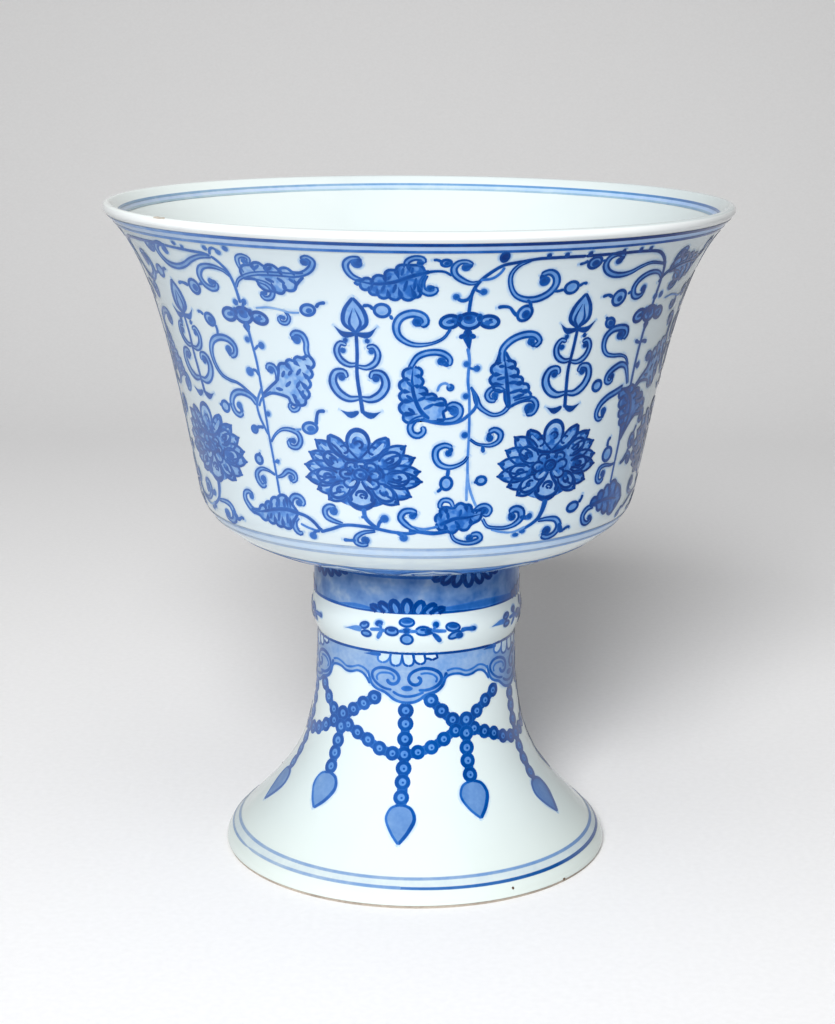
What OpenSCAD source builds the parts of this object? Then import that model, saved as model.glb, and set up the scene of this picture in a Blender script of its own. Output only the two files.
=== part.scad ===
// Porcelain stem cup: a deep bowl with a flared lip, luted onto a hollow stem that
// opens into a bell foot and carries one raised ring. The foot stands on z = 0 and
// the axis of the wheel is +Z. Sizes are in millimetres, over the glaze.

/* [Overall] */
// Diameter over the lip
rim_d = 149; // [136:0.5:164]
// Height from the foot to the crest of the lip
height = 160; // [150:0.5:176]
// Diameter of the foot where it stands
foot_d = 95; // [88:0.5:104]

/* [Bowl] */
// Height of the joint where the bowl sits on the stem
joint_h = 75; // [72:0.5:80]
// Outside diameter where the heel turns into the wall
wall_d = 105.6; // [100:0.2:112]
// Rise from the joint to the start of the wall
heel_h = 16.5; // [14:0.5:20]
// Outward lean of the wall at its start, mm per mm of rise
wall_lean = 0.18; // [0.12:0.01:0.26]
// Outward lean of the lip, mm per mm of rise
lip_lean = 1; // [0.7:0.01:1.2]
// Pull of the underside curve away from the stem
under_reach = 13.4; // [10:0.2:17]
// Rise of the underside over that pull
under_rise = 1.7; // [0.8:0.1:2.6]
// Pull of the heel curve below the wall
heel_reach = 9.3; // [7:0.1:11]
// Pull of the wall curve up from the heel
wall_reach = 45.5; // [38:0.5:50]
// Pull of the lip curve down from the crest
lip_reach = 13.4; // [10:0.2:18]
// Wall thickness where the heel ends
wall_t = 3.8; // [3:0.1:5]
// Thickness of the rounded lip
lip_t = 2.2; // [1.8:0.1:3.2]
// Thickness of the floor over the joint
floor_t = 6.5; // [5:0.1:8]
// Pull of the floor curve away from the axis
floor_reach = 30; // [22:0.5:36]

/* [Stem and foot] */
// Diameter of the neck under the bowl
neck_d = 50.6; // [49:0.2:54]
// Diameter of the waist just under the ring
waist_d = 48.8; // [46:0.2:51]
// Thickness of the stem wall
stem_t = 4.6; // [3.8:0.1:5.4]
// Thickness of the foot wall where it stands
foot_t = 3.6; // [2.8:0.1:4.4]
// Height at which the rounded foot edge runs into the flare
edge_h = 7.7; // [6:0.1:9]
// Distance of that place in from the foot
edge_in = 5; // [4:0.1:6]
// Slope of the flare there, mm of rise per mm inward
flare_slope = 1.01; // [0.85:0.01:1.2]
// Pull of the rounded edge
edge_reach = 2.6; // [1.8:0.1:3.4]
// Pull of the foot's inner edge
hollow_reach = 1.4; // [0.8:0.1:2]
// Pull of the flare up from the edge
flare_reach = 19; // [15:0.5:22]
// Pull of the flare down from the waist
waist_reach = 28; // [24:0.5:32]

/* [Raised ring] */
// Height of the ring's lower edge
ring_z = 55.3; // [53:0.1:57]
// Width of the ring along the stem
ring_w = 9.5; // [8:0.1:11]
// Swell of the ring over the stem
ring_swell = 1; // [0.4:0.1:1.6]
// Depth of the turned seat that holds the ring
ring_seat = 1; // [0.6:0.1:1.6]

/* [Luted joint] */
// Height of the spigot under the bowl that enters the stem
spigot_h = 3; // [2:0.1:4]
// Thickness of the slip between bowl and stem
slip_t = 0.6; // [0.4:0.1:1]

/* [Glaze] */
// Thickness of the glaze
glaze_t = 0.35; // [0.2:0.05:0.6]
// Height of the bare ring left at the foot
bare_h = 0.8; // [0.4:0.1:1.4]

/* [Hidden] */
$fn = 96;
steps = 14;
body_tint = [0.93, 0.92, 0.89];
slip_tint = [0.88, 0.87, 0.83];
glaze_tint = [0.94, 0.97, 0.97];

rim_r = rim_d / 2;
foot_r = foot_d / 2;
wall_r = wall_d / 2;
neck_r = neck_d / 2;
waist_r = waist_d / 2;
ring_top = ring_z + ring_w;
ring_seat_r = min(waist_r, neck_r) - glaze_t - ring_seat;
bore_r = waist_r - stem_t;
spigot_r = bore_r - slip_t;
stem_top = joint_h - slip_t;
spigot_z = joint_h - spigot_h;
floor_z = joint_h + floor_t;

// Directions of the outline where two curves meet
wall_dir = unit([wall_lean, 1]);
lip_dir = unit([lip_lean, 1]);
lip_out = [lip_dir[1], -lip_dir[0]];
flare_dir = unit([-1, flare_slope]);

// Places where the curves meet
lip_c = [rim_r - lip_t / 2, height - lip_t / 2];
lip_a = atan2(lip_out[1], lip_out[0]);
wall_foot = [wall_r, joint_h + heel_h];
wall_foot_in = [wall_r - wall_t, joint_h + heel_h];
flare_foot = [foot_r - edge_in, edge_h];
hollow_foot = [foot_r - foot_t, bare_h];
hollow_flare = flare_foot - [flare_dir[1], -flare_dir[0]] * foot_t;

// Four handles of each curve, walked with the clay on the left
underside = [
    [neck_r, joint_h],
    [neck_r + under_reach, joint_h + under_rise],
    wall_foot - wall_dir * heel_reach,
    wall_foot
];
wall = [
    wall_foot,
    wall_foot + wall_dir * wall_reach,
    lip_c + lip_out * lip_t / 2 - lip_dir * lip_reach,
    lip_c + lip_out * lip_t / 2
];
wall_in = [
    lip_c - lip_out * lip_t / 2,
    lip_c - lip_out * lip_t / 2 - lip_dir * lip_reach,
    wall_foot_in + wall_dir * wall_reach,
    wall_foot_in
];
floor_in = [
    wall_foot_in,
    wall_foot_in - wall_dir * heel_reach,
    [floor_reach, floor_z],
    [0, floor_z]
];
foot_edge = [
    [foot_r, bare_h],
    [foot_r, bare_h + edge_reach],
    flare_foot - flare_dir * edge_reach,
    flare_foot
];
hollow_edge = [
    hollow_foot,
    hollow_foot + [0, hollow_reach],
    hollow_flare - flare_dir * hollow_reach,
    hollow_flare
];
flare = [
    flare_foot,
    flare_foot + flare_dir * flare_reach,
    [waist_r, ring_z - waist_reach],
    [waist_r, ring_z]
];

function unit(v) = v / norm(v);

// Point at t on a cubic curve with handles p
function on(p, t) =
    p[0] * pow(1 - t, 3) + p[1] * 3 * t * pow(1 - t, 2)
    + p[2] * 3 * t * t * (1 - t) + p[3] * pow(t, 3);

// Direction of travel at t
function along(p, t) =
    unit((p[1] - p[0]) * pow(1 - t, 2) + (p[2] - p[1]) * 2 * t * (1 - t) + (p[3] - p[2]) * t * t);

// Point at t, moved a depth d into the clay
function under(p, t, d) =
    let (v = along(p, t))
    on(p, t) - [v[1], -v[0]] * d;

function run(p, d) = [for (i = [0:steps]) under(p, i / steps, d)];
function back(pts) = [for (i = [len(pts) - 1:-1:0]) pts[i]];

// Rounded lip between two turns from its outer side, at depth d
function lip(d, from, to) =
    [for (i = [0:steps / 2])
        let (a = lip_a + from + (to - from) * i * 2 / steps)
        lip_c + [cos(a), sin(a)] * (lip_t / 2 - d)];

// Swelling face of the ring at depth d
function ring_face(d) =
    [for (i = [0:steps])
        [waist_r + (neck_r - waist_r) * i / steps + ring_swell * sin(180 * i / steps) - d,
         ring_z + ring_w * i / steps]];

function foot_out(d) = concat(run(foot_edge, d), run(flare, d));
function bowl_out(d) = concat(run(underside, d), run(wall, d));
function bowl_in(d) = concat(run(wall_in, d), run(floor_in, d));

// Hollow side of the foot under a coat g: the wall thickens from the foot to the waist
function hollow(g) =
    concat(
        run(hollow_edge, g),
        [for (i = [1:steps]) under(flare, i / steps, foot_t + (stem_t - foot_t) * i / steps + g)]);

module bowl()
    color(body_tint)
    rotate_extrude()
    polygon(concat(
        [[0, spigot_z], [spigot_r, spigot_z], [spigot_r, joint_h], [neck_r - glaze_t, joint_h]],
        [[neck_r - glaze_t, joint_h + glaze_t]],
        bowl_out(glaze_t),
        lip(glaze_t, 0, 180),
        bowl_in(glaze_t)));

module stem()
    color(body_tint)
    rotate_extrude()
    polygon(concat(
        [[foot_r - foot_t, 0], [foot_r - glaze_t, 0]],
        foot_out(glaze_t),
        [[ring_seat_r, ring_z], [ring_seat_r, ring_top], [neck_r - glaze_t, ring_top]],
        [[neck_r - glaze_t, stem_top], [bore_r, stem_top]],
        back(hollow(0))));

module stem_ring()
    color(body_tint)
    rotate_extrude()
    polygon(concat([[ring_seat_r, ring_z]], ring_face(glaze_t), [[ring_seat_r, ring_top]]));

module slip_joint()
    color(slip_tint)
    rotate_extrude()
    polygon([
        [spigot_r, spigot_z],
        [bore_r, spigot_z],
        [bore_r, stem_top],
        [neck_r - glaze_t, stem_top],
        [neck_r - glaze_t, joint_h],
        [spigot_r, joint_h]
    ]);

// One coat from the bare foot over ring, heel and wall to the crest of the lip
module glaze_outside()
    color(glaze_tint)
    rotate_extrude()
    polygon(concat(
        [for (p = foot_out(0)) if (p[1] > bare_h) p],
        ring_face(0),
        [[neck_r, joint_h]],
        bowl_out(0),
        lip(0, 0, 90),
        back(lip(glaze_t, 0, 90)),
        back(bowl_out(glaze_t)),
        [[neck_r - glaze_t, joint_h + glaze_t]],
        back(ring_face(glaze_t)),
        back(foot_out(glaze_t))));

module glaze_inside()
    color(glaze_tint)
    rotate_extrude()
    polygon(concat(
        lip(0, 90, 180),
        bowl_in(0),
        back(bowl_in(glaze_t)),
        back(lip(glaze_t, 90, 180))));

// Coat of the hollow foot and of the underside of the bowl that closes it
module glaze_foot()
    color(glaze_tint)
    rotate_extrude()
    polygon(concat(
        hollow(0),
        [[bore_r, spigot_z], [0, spigot_z], [0, spigot_z - glaze_t], [bore_r - glaze_t, spigot_z - glaze_t]],
        back([for (p = hollow(glaze_t)) if (p[1] > bare_h) p])));

bowl();
stem();
stem_ring();
slip_joint();
glaze_outside();
glaze_inside();
glaze_foot();
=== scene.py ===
# %% [markdown]
# # A blue and white stem cup
# The cup is a porcelain bowl with a flared lip, set on a hollow stem that opens into a
# bell foot. It was thrown on a wheel, painted in cobalt on the raw clay and covered with
# one clear glaze. The lesson builds the glaze first and then paints it, stroke by stroke.
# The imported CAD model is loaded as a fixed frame, so every size here is a size there.

# %% Load the frame
import math

import bpy
import numpy as np
from mathutils import Matrix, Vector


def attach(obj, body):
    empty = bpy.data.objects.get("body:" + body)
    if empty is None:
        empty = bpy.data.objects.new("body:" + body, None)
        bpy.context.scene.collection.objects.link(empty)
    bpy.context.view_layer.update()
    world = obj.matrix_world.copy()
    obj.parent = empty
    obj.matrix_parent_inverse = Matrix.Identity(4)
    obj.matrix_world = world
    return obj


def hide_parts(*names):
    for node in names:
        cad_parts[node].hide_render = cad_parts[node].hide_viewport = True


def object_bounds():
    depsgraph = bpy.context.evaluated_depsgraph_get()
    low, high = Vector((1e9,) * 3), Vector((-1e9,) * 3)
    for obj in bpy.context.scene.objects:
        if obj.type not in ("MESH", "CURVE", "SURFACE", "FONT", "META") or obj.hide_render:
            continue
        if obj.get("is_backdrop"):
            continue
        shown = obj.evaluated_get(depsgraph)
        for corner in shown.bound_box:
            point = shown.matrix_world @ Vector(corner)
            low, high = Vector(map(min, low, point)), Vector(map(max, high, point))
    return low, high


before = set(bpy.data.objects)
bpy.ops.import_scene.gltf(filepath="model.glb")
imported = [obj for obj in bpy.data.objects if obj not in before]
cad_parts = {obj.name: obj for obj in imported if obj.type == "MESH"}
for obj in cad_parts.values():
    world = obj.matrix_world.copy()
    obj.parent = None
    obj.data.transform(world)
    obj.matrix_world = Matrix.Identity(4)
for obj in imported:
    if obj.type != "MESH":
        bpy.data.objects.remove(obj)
cad_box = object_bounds()
MM = 0.001
print("frame holds", sorted(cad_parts))

# %% [markdown]
# ## The outline
# A thrown pot is a surface of revolution, so one curve says almost everything about it.
# It could be traced point by point. A few cubic curves with named ends are easier to read
# and stay smooth at any density. The numbers are millimetres: radius, then height.


# %% Outline of the cup
def unit(v):
    return np.array(v, float) / np.hypot(*v)


def cubic(a, b, c, d, count):
    t = np.linspace(0, 1, count)[:, None]
    a, b, c, d = (np.array(p, float) for p in (a, b, c, d))
    return a * (1 - t) ** 3 + b * 3 * t * (1 - t) ** 2 + c * 3 * t * t * (1 - t) + d * t**3


def joined(*runs):
    """One path from several, without doubled points."""
    path = np.vstack(runs)
    keep = np.r_[True, np.hypot(*np.diff(path, axis=0).T) > 1e-6]
    return path[keep]


rim_r, height, lip_half = 74.5, 160.0, 1.1
joint_h, neck_r, waist_r = 75.0, 25.3, 24.4
foot_r, bare_h, ring_z, ring_w = 47.5, 0.8, 55.3, 9.5
glaze_t = 0.35
lip_pull, wall_pull, heel_pull, neck_pull = 13.4, 45.5, 9.3, np.array((13.4, 1.7))
edge_pull, knee_pull, waist_pull = 2.6, 19, 28
floor_r, floor_h, axis_r = 30, 81.5, 0.02
edge_count = 14

wall_dir, lip_dir, flare_dir = unit((0.18, 1)), unit((1, 1)), unit((-1, 1.01))
lip_out = np.array((lip_dir[1], -lip_dir[0]))
lip_c = np.array((rim_r - lip_half, height - lip_half))
heel = np.array((52.8, 91.5))
heel_in = heel - (3.8, 0)
lip_a, lip_b = lip_c + lip_out * lip_half, lip_c - lip_out * lip_half
knee = np.array((foot_r - 5, 7.7))


def lip_arc(start, end, count=9):
    a = np.arctan2(lip_out[1], lip_out[0]) + np.radians(np.linspace(start, end, count))
    return lip_c + np.c_[np.cos(a), np.sin(a)] * lip_half


bowl_out = joined(
    cubic((neck_r, joint_h), neck_pull + (neck_r, joint_h), heel - wall_dir * heel_pull, heel, 70),
    cubic(heel, heel + wall_dir * wall_pull, lip_a - lip_dir * lip_pull, lip_a, 80),
)
bowl_in = joined(
    cubic(lip_b, lip_b - lip_dir * lip_pull, heel_in + wall_dir * wall_pull, heel_in, 60),
    cubic(heel_in, heel_in - wall_dir * heel_pull, (floor_r, floor_h), (axis_r, floor_h), 50),
)
foot_out = joined(
    cubic((foot_r, bare_h), (foot_r, bare_h + edge_pull), knee - flare_dir * edge_pull, knee, edge_count),
    cubic(knee, knee + flare_dir * knee_pull, (waist_r, ring_z - waist_pull), (waist_r, ring_z), 60),
)
swell = np.linspace(0, 1, 25)
ring_out = np.c_[
    waist_r + (neck_r - waist_r) * swell + np.sin(np.pi * swell), ring_z + ring_w * swell
]
print("outline points", len(bowl_out) + len(bowl_in) + len(foot_out) + len(ring_out))

# %% [markdown]
# ## Shader sums in plain Python
# A material is a graph of nodes. Wiring it by hand hides the idea behind it, so a small
# class wraps one output and lets sums on it read as sums. Any other node comes from one
# method that takes its type, its settings and what goes into its sockets.


# %% A small kit for finishes
class Wire:
    """One output of a node, ready for arithmetic."""

    def __init__(self, finish, socket):
        self.finish, self.socket = finish, socket

    def sum_node(self, how, first, second):
        return self.finish.node("ShaderNodeMath", {"operation": how}, {0: first, 1: second})

    def __add__(self, other):
        return self.sum_node("ADD", self, other)

    def __sub__(self, other):
        return self.sum_node("SUBTRACT", self, other)

    def __rsub__(self, other):
        return self.sum_node("SUBTRACT", other, self)

    def __mul__(self, other):
        return self.sum_node("MULTIPLY", self, other)

    __radd__, __rmul__ = __add__, __mul__


class Finish:
    """A material with one Principled shader, built node by node."""

    def __init__(self, name, **constants):
        self.material = bpy.data.materials.new(name)
        self.material.use_nodes = True
        self.tree = self.material.node_tree
        self.shader = self.tree.nodes["Principled BSDF"]
        for socket, value in constants.items():
            self.shader.inputs[socket.replace("_", " ")].default_value = value

    def node(self, kind, settings=None, sockets=None, output=0):
        made = self.tree.nodes.new(kind)
        for key, value in (settings or {}).items():
            if key == "stops":
                self.set_stops(made.color_ramp, value)
            else:
                setattr(made, key, value)
        for key, value in (sockets or {}).items():
            self.feed(made.inputs[key], value)
        return Wire(self, made.outputs[output])

    def set_stops(self, ramp, stops):
        while len(ramp.elements) < len(stops):
            ramp.elements.new(1.0)
        for element, (place, colour) in zip(ramp.elements, stops):
            element.position, element.color = place, (*colour, 1)

    def feed(self, socket, value):
        if isinstance(value, Wire):
            self.tree.links.new(value.socket, socket)
        else:
            socket.default_value = value

    def wear(self, **wires):
        for socket, value in wires.items():
            self.feed(self.shader.inputs[socket.replace("_", " ")], value)

    def place(self):
        return self.node("ShaderNodeTexCoord", output="Object")

    def noise(self, scale, detail=2.0):
        sockets = {"Scale": scale, "Detail": detail, "Vector": self.place()}
        return self.node("ShaderNodeTexNoise", None, sockets)

    def ramp(self, stops, value):
        return self.node("ShaderNodeValToRGB", {"stops": stops}, {"Fac": value})

    def two_tone(self, deep, pale, value):
        return self.ramp([(0.3, linear(*deep)), (0.7, linear(*pale))], value)

    def remap(self, value, low, high, start=0.0, stop=1.0):
        """The value moved from one range, low to high, to another, start to stop."""
        sockets = {"From Min": low, "From Max": high, "To Min": start, "To Max": stop}
        return self.node("ShaderNodeMapRange", None, {"Value": value, **sockets})

    def along(self, axis):
        """Place along one axis of the cup, in metres."""
        return self.node("ShaderNodeSeparateXYZ", None, {0: self.place()}, output=axis)

    def blend(self, how, factor, first, second):
        settings = {"data_type": "RGBA", "blend_type": how}
        return self.node("ShaderNodeMix", settings, {0: factor, 6: first, 7: second}, output=2)


def linear(r, g, b):
    """A colour given as 0 to 255 on a screen, as the linear light that Blender wants."""
    c = np.array((r, g, b)) / 255
    return tuple(np.where(c <= 0.04045, c / 12.92, ((c + 0.055) / 1.055) ** 2.4).tolist())


print("deep cobalt in linear light", [round(c, 3) for c in linear(8, 50, 135)])

# %% [markdown]
# ## Glaze, cobalt and biscuit
# The clear glaze is white with a breath of blue-green, and never quite even. Painted light
# and shade lie in its colour too, by height outside and from left to right inside the bowl.
# The cobalt lies under it, so it shines just the same. Its strength is stored on the mesh as
# a number called ink, and a colour ramp turns ink into blue, from bare glaze to the deepest
# pool. Two noises make the wash pool and streak as a loaded brush does. Painted shade makes
# the blue darker towards the right, and a painted reflection greys it over the left half and
# towards both sides.

# %% Colours of the glaze and the ink
GLAZE_ROUGH, ROUGH_SPREAD = 0.09, 0.04
SHEEN = 0.08
CLOUD_SCALE, RIPPLE_SCALE, RIPPLE_DEPTH = 28.0, 160.0, 0.0004
POOL_SCALE, STREAK_SCALE, BLOT_SCALE = 240.0, 1100.0, 520.0
# How strongly painted shade darkens the ink from left to right, then the bare glaze colour and the grey of
# a painted reflection
PAINTED_SHADE_DRIFT, PAINTED_SHADE_MIDDLE = 3.6, 0.96
BARE, PAINTED_REFLECTION_GREY = (203, 214, 217), (126, 136, 166)
CLOUDS = (0.25, (0.96, 0.97, 0.98)), (0.75, (1, 1, 1))
# Outside glaze by height: greener and lighter on the foot, then painted light on the underside near the
# heel, painted shade over the wall and a painted highlight on the lip
TINT_AND_SHADE_BY_HEIGHT = ("Z", 6.25, 0.0), (
    (0.0, (210, 219, 215)), (0.12, (207, 218, 218)), (0.4, (205, 216, 218)),
    (0.49, (203, 214, 217)), (0.505, (216, 227, 229)), (0.535, (214, 225, 229)),
    (0.56, (196, 208, 214)), (0.97, (196, 208, 214)), (0.99, (226, 230, 231)),
)
# Inside glaze from left to right: painted light that brightens the left wall of the bowl, which the lamps
# leave in shade
PAINTED_LIGHT_BY_SIDE = ("X", 7.0, 0.5), (
    (0.0, (238, 245, 243)), (0.36, (204, 213, 214)), (1.0, (206, 215, 216)),
)
INK_STOPS = (
    (0.0, BARE), (0.18, (158, 186, 214)), (0.38, (95, 142, 202)),
    (0.58, (44, 103, 180)), (0.78, (7, 72, 148)), (1.0, (0, 43, 110)),
)
BLOTS = 0.46, 0.6
# Where a painted reflection greys the cobalt: from, to, and how far at each
LEFT_REFLECTION, LIMB_REFLECTION = (-0.065, 0.0, 0.5, 0.0), (-0.97, -0.8, 0.4, 0.0)
RIGHT_REFLECTION = 0.74, 0.97, 0.0, 0.8
print("ramps of", len(TINT_AND_SHADE_BY_HEIGHT[1]), "glaze colours and", len(INK_STOPS), "inks")


# %% Glaze
def glaze_tint_light_and_shade(f, rule=TINT_AND_SHADE_BY_HEIGHT):
    """Colour of the bare glaze: its tint with painted light and shade, changing slowly along one axis of
    the cup, clouded a little.
    """
    (axis, scale, shift), stops = rule
    stops = [(at, linear(*colour)) for at, colour in stops]
    broad = f.ramp(stops, f.along(axis) * scale + shift)
    return f.blend("MULTIPLY", 1.0, broad, f.ramp(CLOUDS, f.noise(CLOUD_SCALE, 3.0)))


def glaze_rough(noise):
    return noise * ROUGH_SPREAD + (GLAZE_ROUGH - ROUGH_SPREAD / 2)


def make_glaze(name, rule):
    f = Finish(name, IOR=1.5, Specular_IOR_Level=0.25)
    f.wear(Base_Color=glaze_tint_light_and_shade(f, rule), Roughness=glaze_rough(f.noise(CLOUD_SCALE, 3.0)))
    ripple = {"Strength": 0.03, "Distance": RIPPLE_DEPTH, "Height": f.noise(RIPPLE_SCALE, 1.0)}
    f.wear(Normal=f.node("ShaderNodeBump", None, ripple))
    return f.material


glaze = make_glaze("clear_glaze_light_and_shade", TINT_AND_SHADE_BY_HEIGHT)
inner_glaze_and_painted_light = make_glaze("inner_glaze_and_painted_light", PAINTED_LIGHT_BY_SIDE)
print("glazes", glaze.name, inner_glaze_and_painted_light.name)


# %% Iron and bare clay
def make_speck():
    f = Finish("iron_speck", IOR=1.5, Specular_IOR_Level=SHEEN)
    rust = f.two_tone((66, 52, 44), (124, 100, 80), f.noise(2400.0))
    f.wear(Base_Color=rust, Roughness=f.noise(900.0) * 0.2 + 0.2)
    return f.material


def make_biscuit(name, deep, pale):
    f = Finish(name, IOR=1.45)
    grain, stain = f.noise(1500.0, 4.0), f.noise(90.0, 3.0)
    tone = f.two_tone(deep, pale, grain * 0.35 + stain * 0.65)
    f.wear(Base_Color=tone, Roughness=grain * 0.2 + 0.6)
    return f.material


iron = make_speck()
# Bare clay: toasted biscuit, painted darker as well for the contact shadow where the foot ring meets the
# floor
biscuit = make_biscuit("biscuit_with_contact_shade", (136, 126, 116), (188, 178, 166))
fresh_break = make_biscuit("fresh_break", (148, 141, 130), (204, 197, 186))
print("clays", biscuit.name, fresh_break.name)


# %% Cobalt
def make_cobalt(name, pool, streak, fleck=0.0, redder=0, bluer=0):
    """Ink as blue under the glaze, with the glaze's painted light and shade, painted shade darker to the
    right and a painted reflection greying it to the left and right.
    """
    f = Finish(name, IOR=1.5, Specular_IOR_Level=SHEEN)
    ink = f.node("ShaderNodeAttribute", {"attribute_name": "ink"}, output="Fac")
    broad, fine = f.noise(POOL_SCALE, 2.0), f.noise(STREAK_SCALE, 2.0)
    # Painted shade: the ink grows stronger towards the right of the cup and weaker towards the left
    side = f.along("X") * PAINTED_SHADE_DRIFT + PAINTED_SHADE_MIDDLE
    strength = ink * side + (broad - 0.5) * pool + (fine - 0.5) * streak
    if fleck:
        strength = strength + f.remap(f.noise(BLOT_SCALE, 1.5), *BLOTS) * ink * fleck
    stops = []
    for at, (r, g, b) in INK_STOPS:
        shade = linear(r + redder, g, b + bluer) if at else linear(r, g, b)
        stops.append((at, tuple(np.divide(shade, linear(*BARE)).tolist())))
    blue = f.blend("MULTIPLY", 1.0, glaze_tint_light_and_shade(f), f.ramp(stops, strength))
    # Painted reflection: the blue greys over the left half and near both sides, where the glaze would
    # mirror the bright studio
    flat = f.node("ShaderNodeVectorMath", {"operation": "MULTIPLY"}, {0: f.place(), 1: (1, 1, 0)})
    flat = f.node("ShaderNodeVectorMath", {"operation": "NORMALIZE"}, {0: flat})
    facing = f.node("ShaderNodeSeparateXYZ", None, {0: flat}, output="X")
    fade = f.remap(f.along("X"), *LEFT_REFLECTION) + f.remap(facing, *RIGHT_REFLECTION) + f.remap(facing, *LIMB_REFLECTION)
    blue = f.blend("MIX", fade * strength, blue, (*linear(*PAINTED_REFLECTION_GREY), 1))
    f.wear(Base_Color=blue, Roughness=glaze_rough(broad))
    return f.material


cobalt_line = make_cobalt("cobalt_line", 0.36, 0.14)
cobalt_wash = make_cobalt("cobalt_wash", 0.30, 0.14)
cobalt_fleck = make_cobalt("cobalt_fleck", 0.26, 0.14, 0.9)
cobalt_leaf = make_cobalt("cobalt_leaf", 0.2, 0.12, 0.45)
cobalt_even = make_cobalt("cobalt_even", 0.1, 0.06, 0.0, 10, -10)
cobalt_ring = make_cobalt("cobalt_ring", 0.16, 0.08, 0.0, 12, -12)
cobalt_soft = make_cobalt("cobalt_soft", 0.2, 0.1, 0.0, 10, -10)
cobalt_pool = make_cobalt("cobalt_pool", 0.6, 0.1, 0.0, 12, -12)
cobalt_thin = make_cobalt("cobalt_thin", 0.1, 0.06, 0.0, -2, 8)
cobalt_inner = make_cobalt("cobalt_inner", 0.16, 0.08, 0.0, 2, -18)
print("finishes", len(bpy.data.materials))

# %% [markdown]
# ## Turning a closed outline into a coat
# Blender's Screw modifier could turn an outline round the axis. Turning it in code gives
# the same rings and lets each coat be a closed skin with a real thickness, as the glaze is.


# %% Lathe
def inset(path, depth):
    """The path moved into the clay by a depth."""
    t = np.gradient(path, axis=0)
    t /= np.hypot(*t.T)[:, None]
    return path - np.c_[t[:, 1], -t[:, 0]] * depth


def turn(name, outline, finish, segments=256, sharp=40):
    """A closed outline, walked with the clay on its left, turned round the axis."""
    outline = np.array(outline)
    n = len(outline)
    a = np.arange(segments) * 2 * np.pi / segments
    r, z = outline.T
    rings = np.stack(
        [np.outer(np.sin(a), r), -np.outer(np.cos(a), r), np.tile(z, (segments, 1))], -1
    )
    i, j = np.meshgrid(np.arange(segments), np.arange(n), indexing="ij")
    after, above = (i + 1) % segments, (j + 1) % n
    quads = np.stack([i * n + j, after * n + j, after * n + above, i * n + above], -1)
    mesh = bpy.data.meshes.new(name)
    mesh.from_pydata(rings.reshape(-1, 3) * MM, [], quads.reshape(-1, 4).tolist())
    mesh.polygons.foreach_set("use_smooth", [True] * len(mesh.polygons))
    mesh.set_sharp_from_angle(angle=math.radians(sharp))
    mesh.materials.append(finish)
    piece = bpy.data.objects.new(name, mesh)
    bpy.context.collection.objects.link(piece)
    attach(piece, "root")
    print(name, len(mesh.polygons), "faces")
    return piece


def coat(face, back):
    """Closed outline of a glaze coat: the shining side, then the side on the clay."""
    back = back[::-1]
    return np.vstack([face, back[:-1:4], back[-1:]])


# %% Glaze coats
neck_out = np.array([(neck_r, ring_z + ring_w), (neck_r, joint_h)])
outside = joined(foot_out, ring_out, neck_out, bowl_out, lip_arc(0, 90))
inside = joined(lip_arc(90, 180), bowl_in)

foot_t, stem_t = 3.6, 4.6
roof_h, inner_pull = 72.0, 1.4
flare = foot_out[edge_count - 1:]
flare_in = inset(flare, np.linspace(foot_t, stem_t, len(flare))[:, None])
edge_in = flare_in[0]
hollow_clay = joined(
    cubic(
        (foot_r - foot_t, bare_h), (foot_r - foot_t, bare_h + inner_pull),
        edge_in - flare_dir * inner_pull, edge_in, 10,
    ),
    flare_in,
    [(waist_r - stem_t, roof_h), (axis_r, roof_h)],
)[::-1]
hollow_face = hollow_clay.copy()
hollow_face[2:] = inset(hollow_clay, -glaze_t)[2:]
roof_face = roof_h - glaze_t
hollow_face[:2] = (axis_r, roof_face), (waist_r - stem_t - glaze_t, roof_face)

for name, face, back in (
    ("glaze_outside", outside, inset(outside, glaze_t)),
    ("glaze_inside", inside, inset(inside, glaze_t)),
    ("glaze_foot", hollow_face, hollow_clay),
):
    finish = inner_glaze_and_painted_light if name == "glaze_inside" else glaze
    turn(name + "_coat", coat(face, back), finish)
    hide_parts(name)
# The CAD body, seen only at the unglazed foot edge, takes the biscuit colour with its painted contact shade
for name in ("bowl", "stem", "stem_ring", "slip_joint"):
    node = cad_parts[name]
    node.data.materials.clear()
    node.data.materials.append(biscuit)

# %% [markdown]
# ## Camera
# The camera stands a little over half a metre away, above the rim, and looks down at the
# stem. Its lens and place were found by fitting the painted rings of the photograph, whose
# ellipses give the tilt, and the lip and foot, whose sizes give the distance.

# %% Camera
look_down, roll, lens, sensor = 13.286, 0.375, 75.64, 36.0
eye = (0.0001, -0.5137, 0.2051)
camera = bpy.data.objects.new("camera", bpy.data.cameras.new("camera"))
camera.data.lens, camera.data.sensor_width = lens, sensor
camera.matrix_world = (
    Matrix.Translation(eye)
    @ Matrix.Rotation(math.radians(90 - look_down), 4, "X")
    @ Matrix.Rotation(math.radians(roll), 4, "Z")
)
bpy.context.collection.objects.link(camera)
bpy.context.scene.camera = camera
bpy.context.scene.view_settings.view_transform = "Standard"
print("camera at", tuple(round(c, 4) for c in camera.location))

# %% [markdown]
# ## Studio
# The cup stands on pale paper that sweeps up behind it. One broad lamp in front, a little
# to the left, lights the painted side and throws a soft shadow back to the right. A second
# lamp overhead keeps the floor bright, and a faint warm sky fills what is left.


# %% Sweep and lamps
def make_paper():
    f = Finish("paper", Roughness=0.9, Specular_IOR_Level=0.1)
    f.wear(Base_Color=f.two_tone((242, 242, 243), (246, 246, 247), f.noise(600.0, 4.0)))
    return f.material


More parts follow.
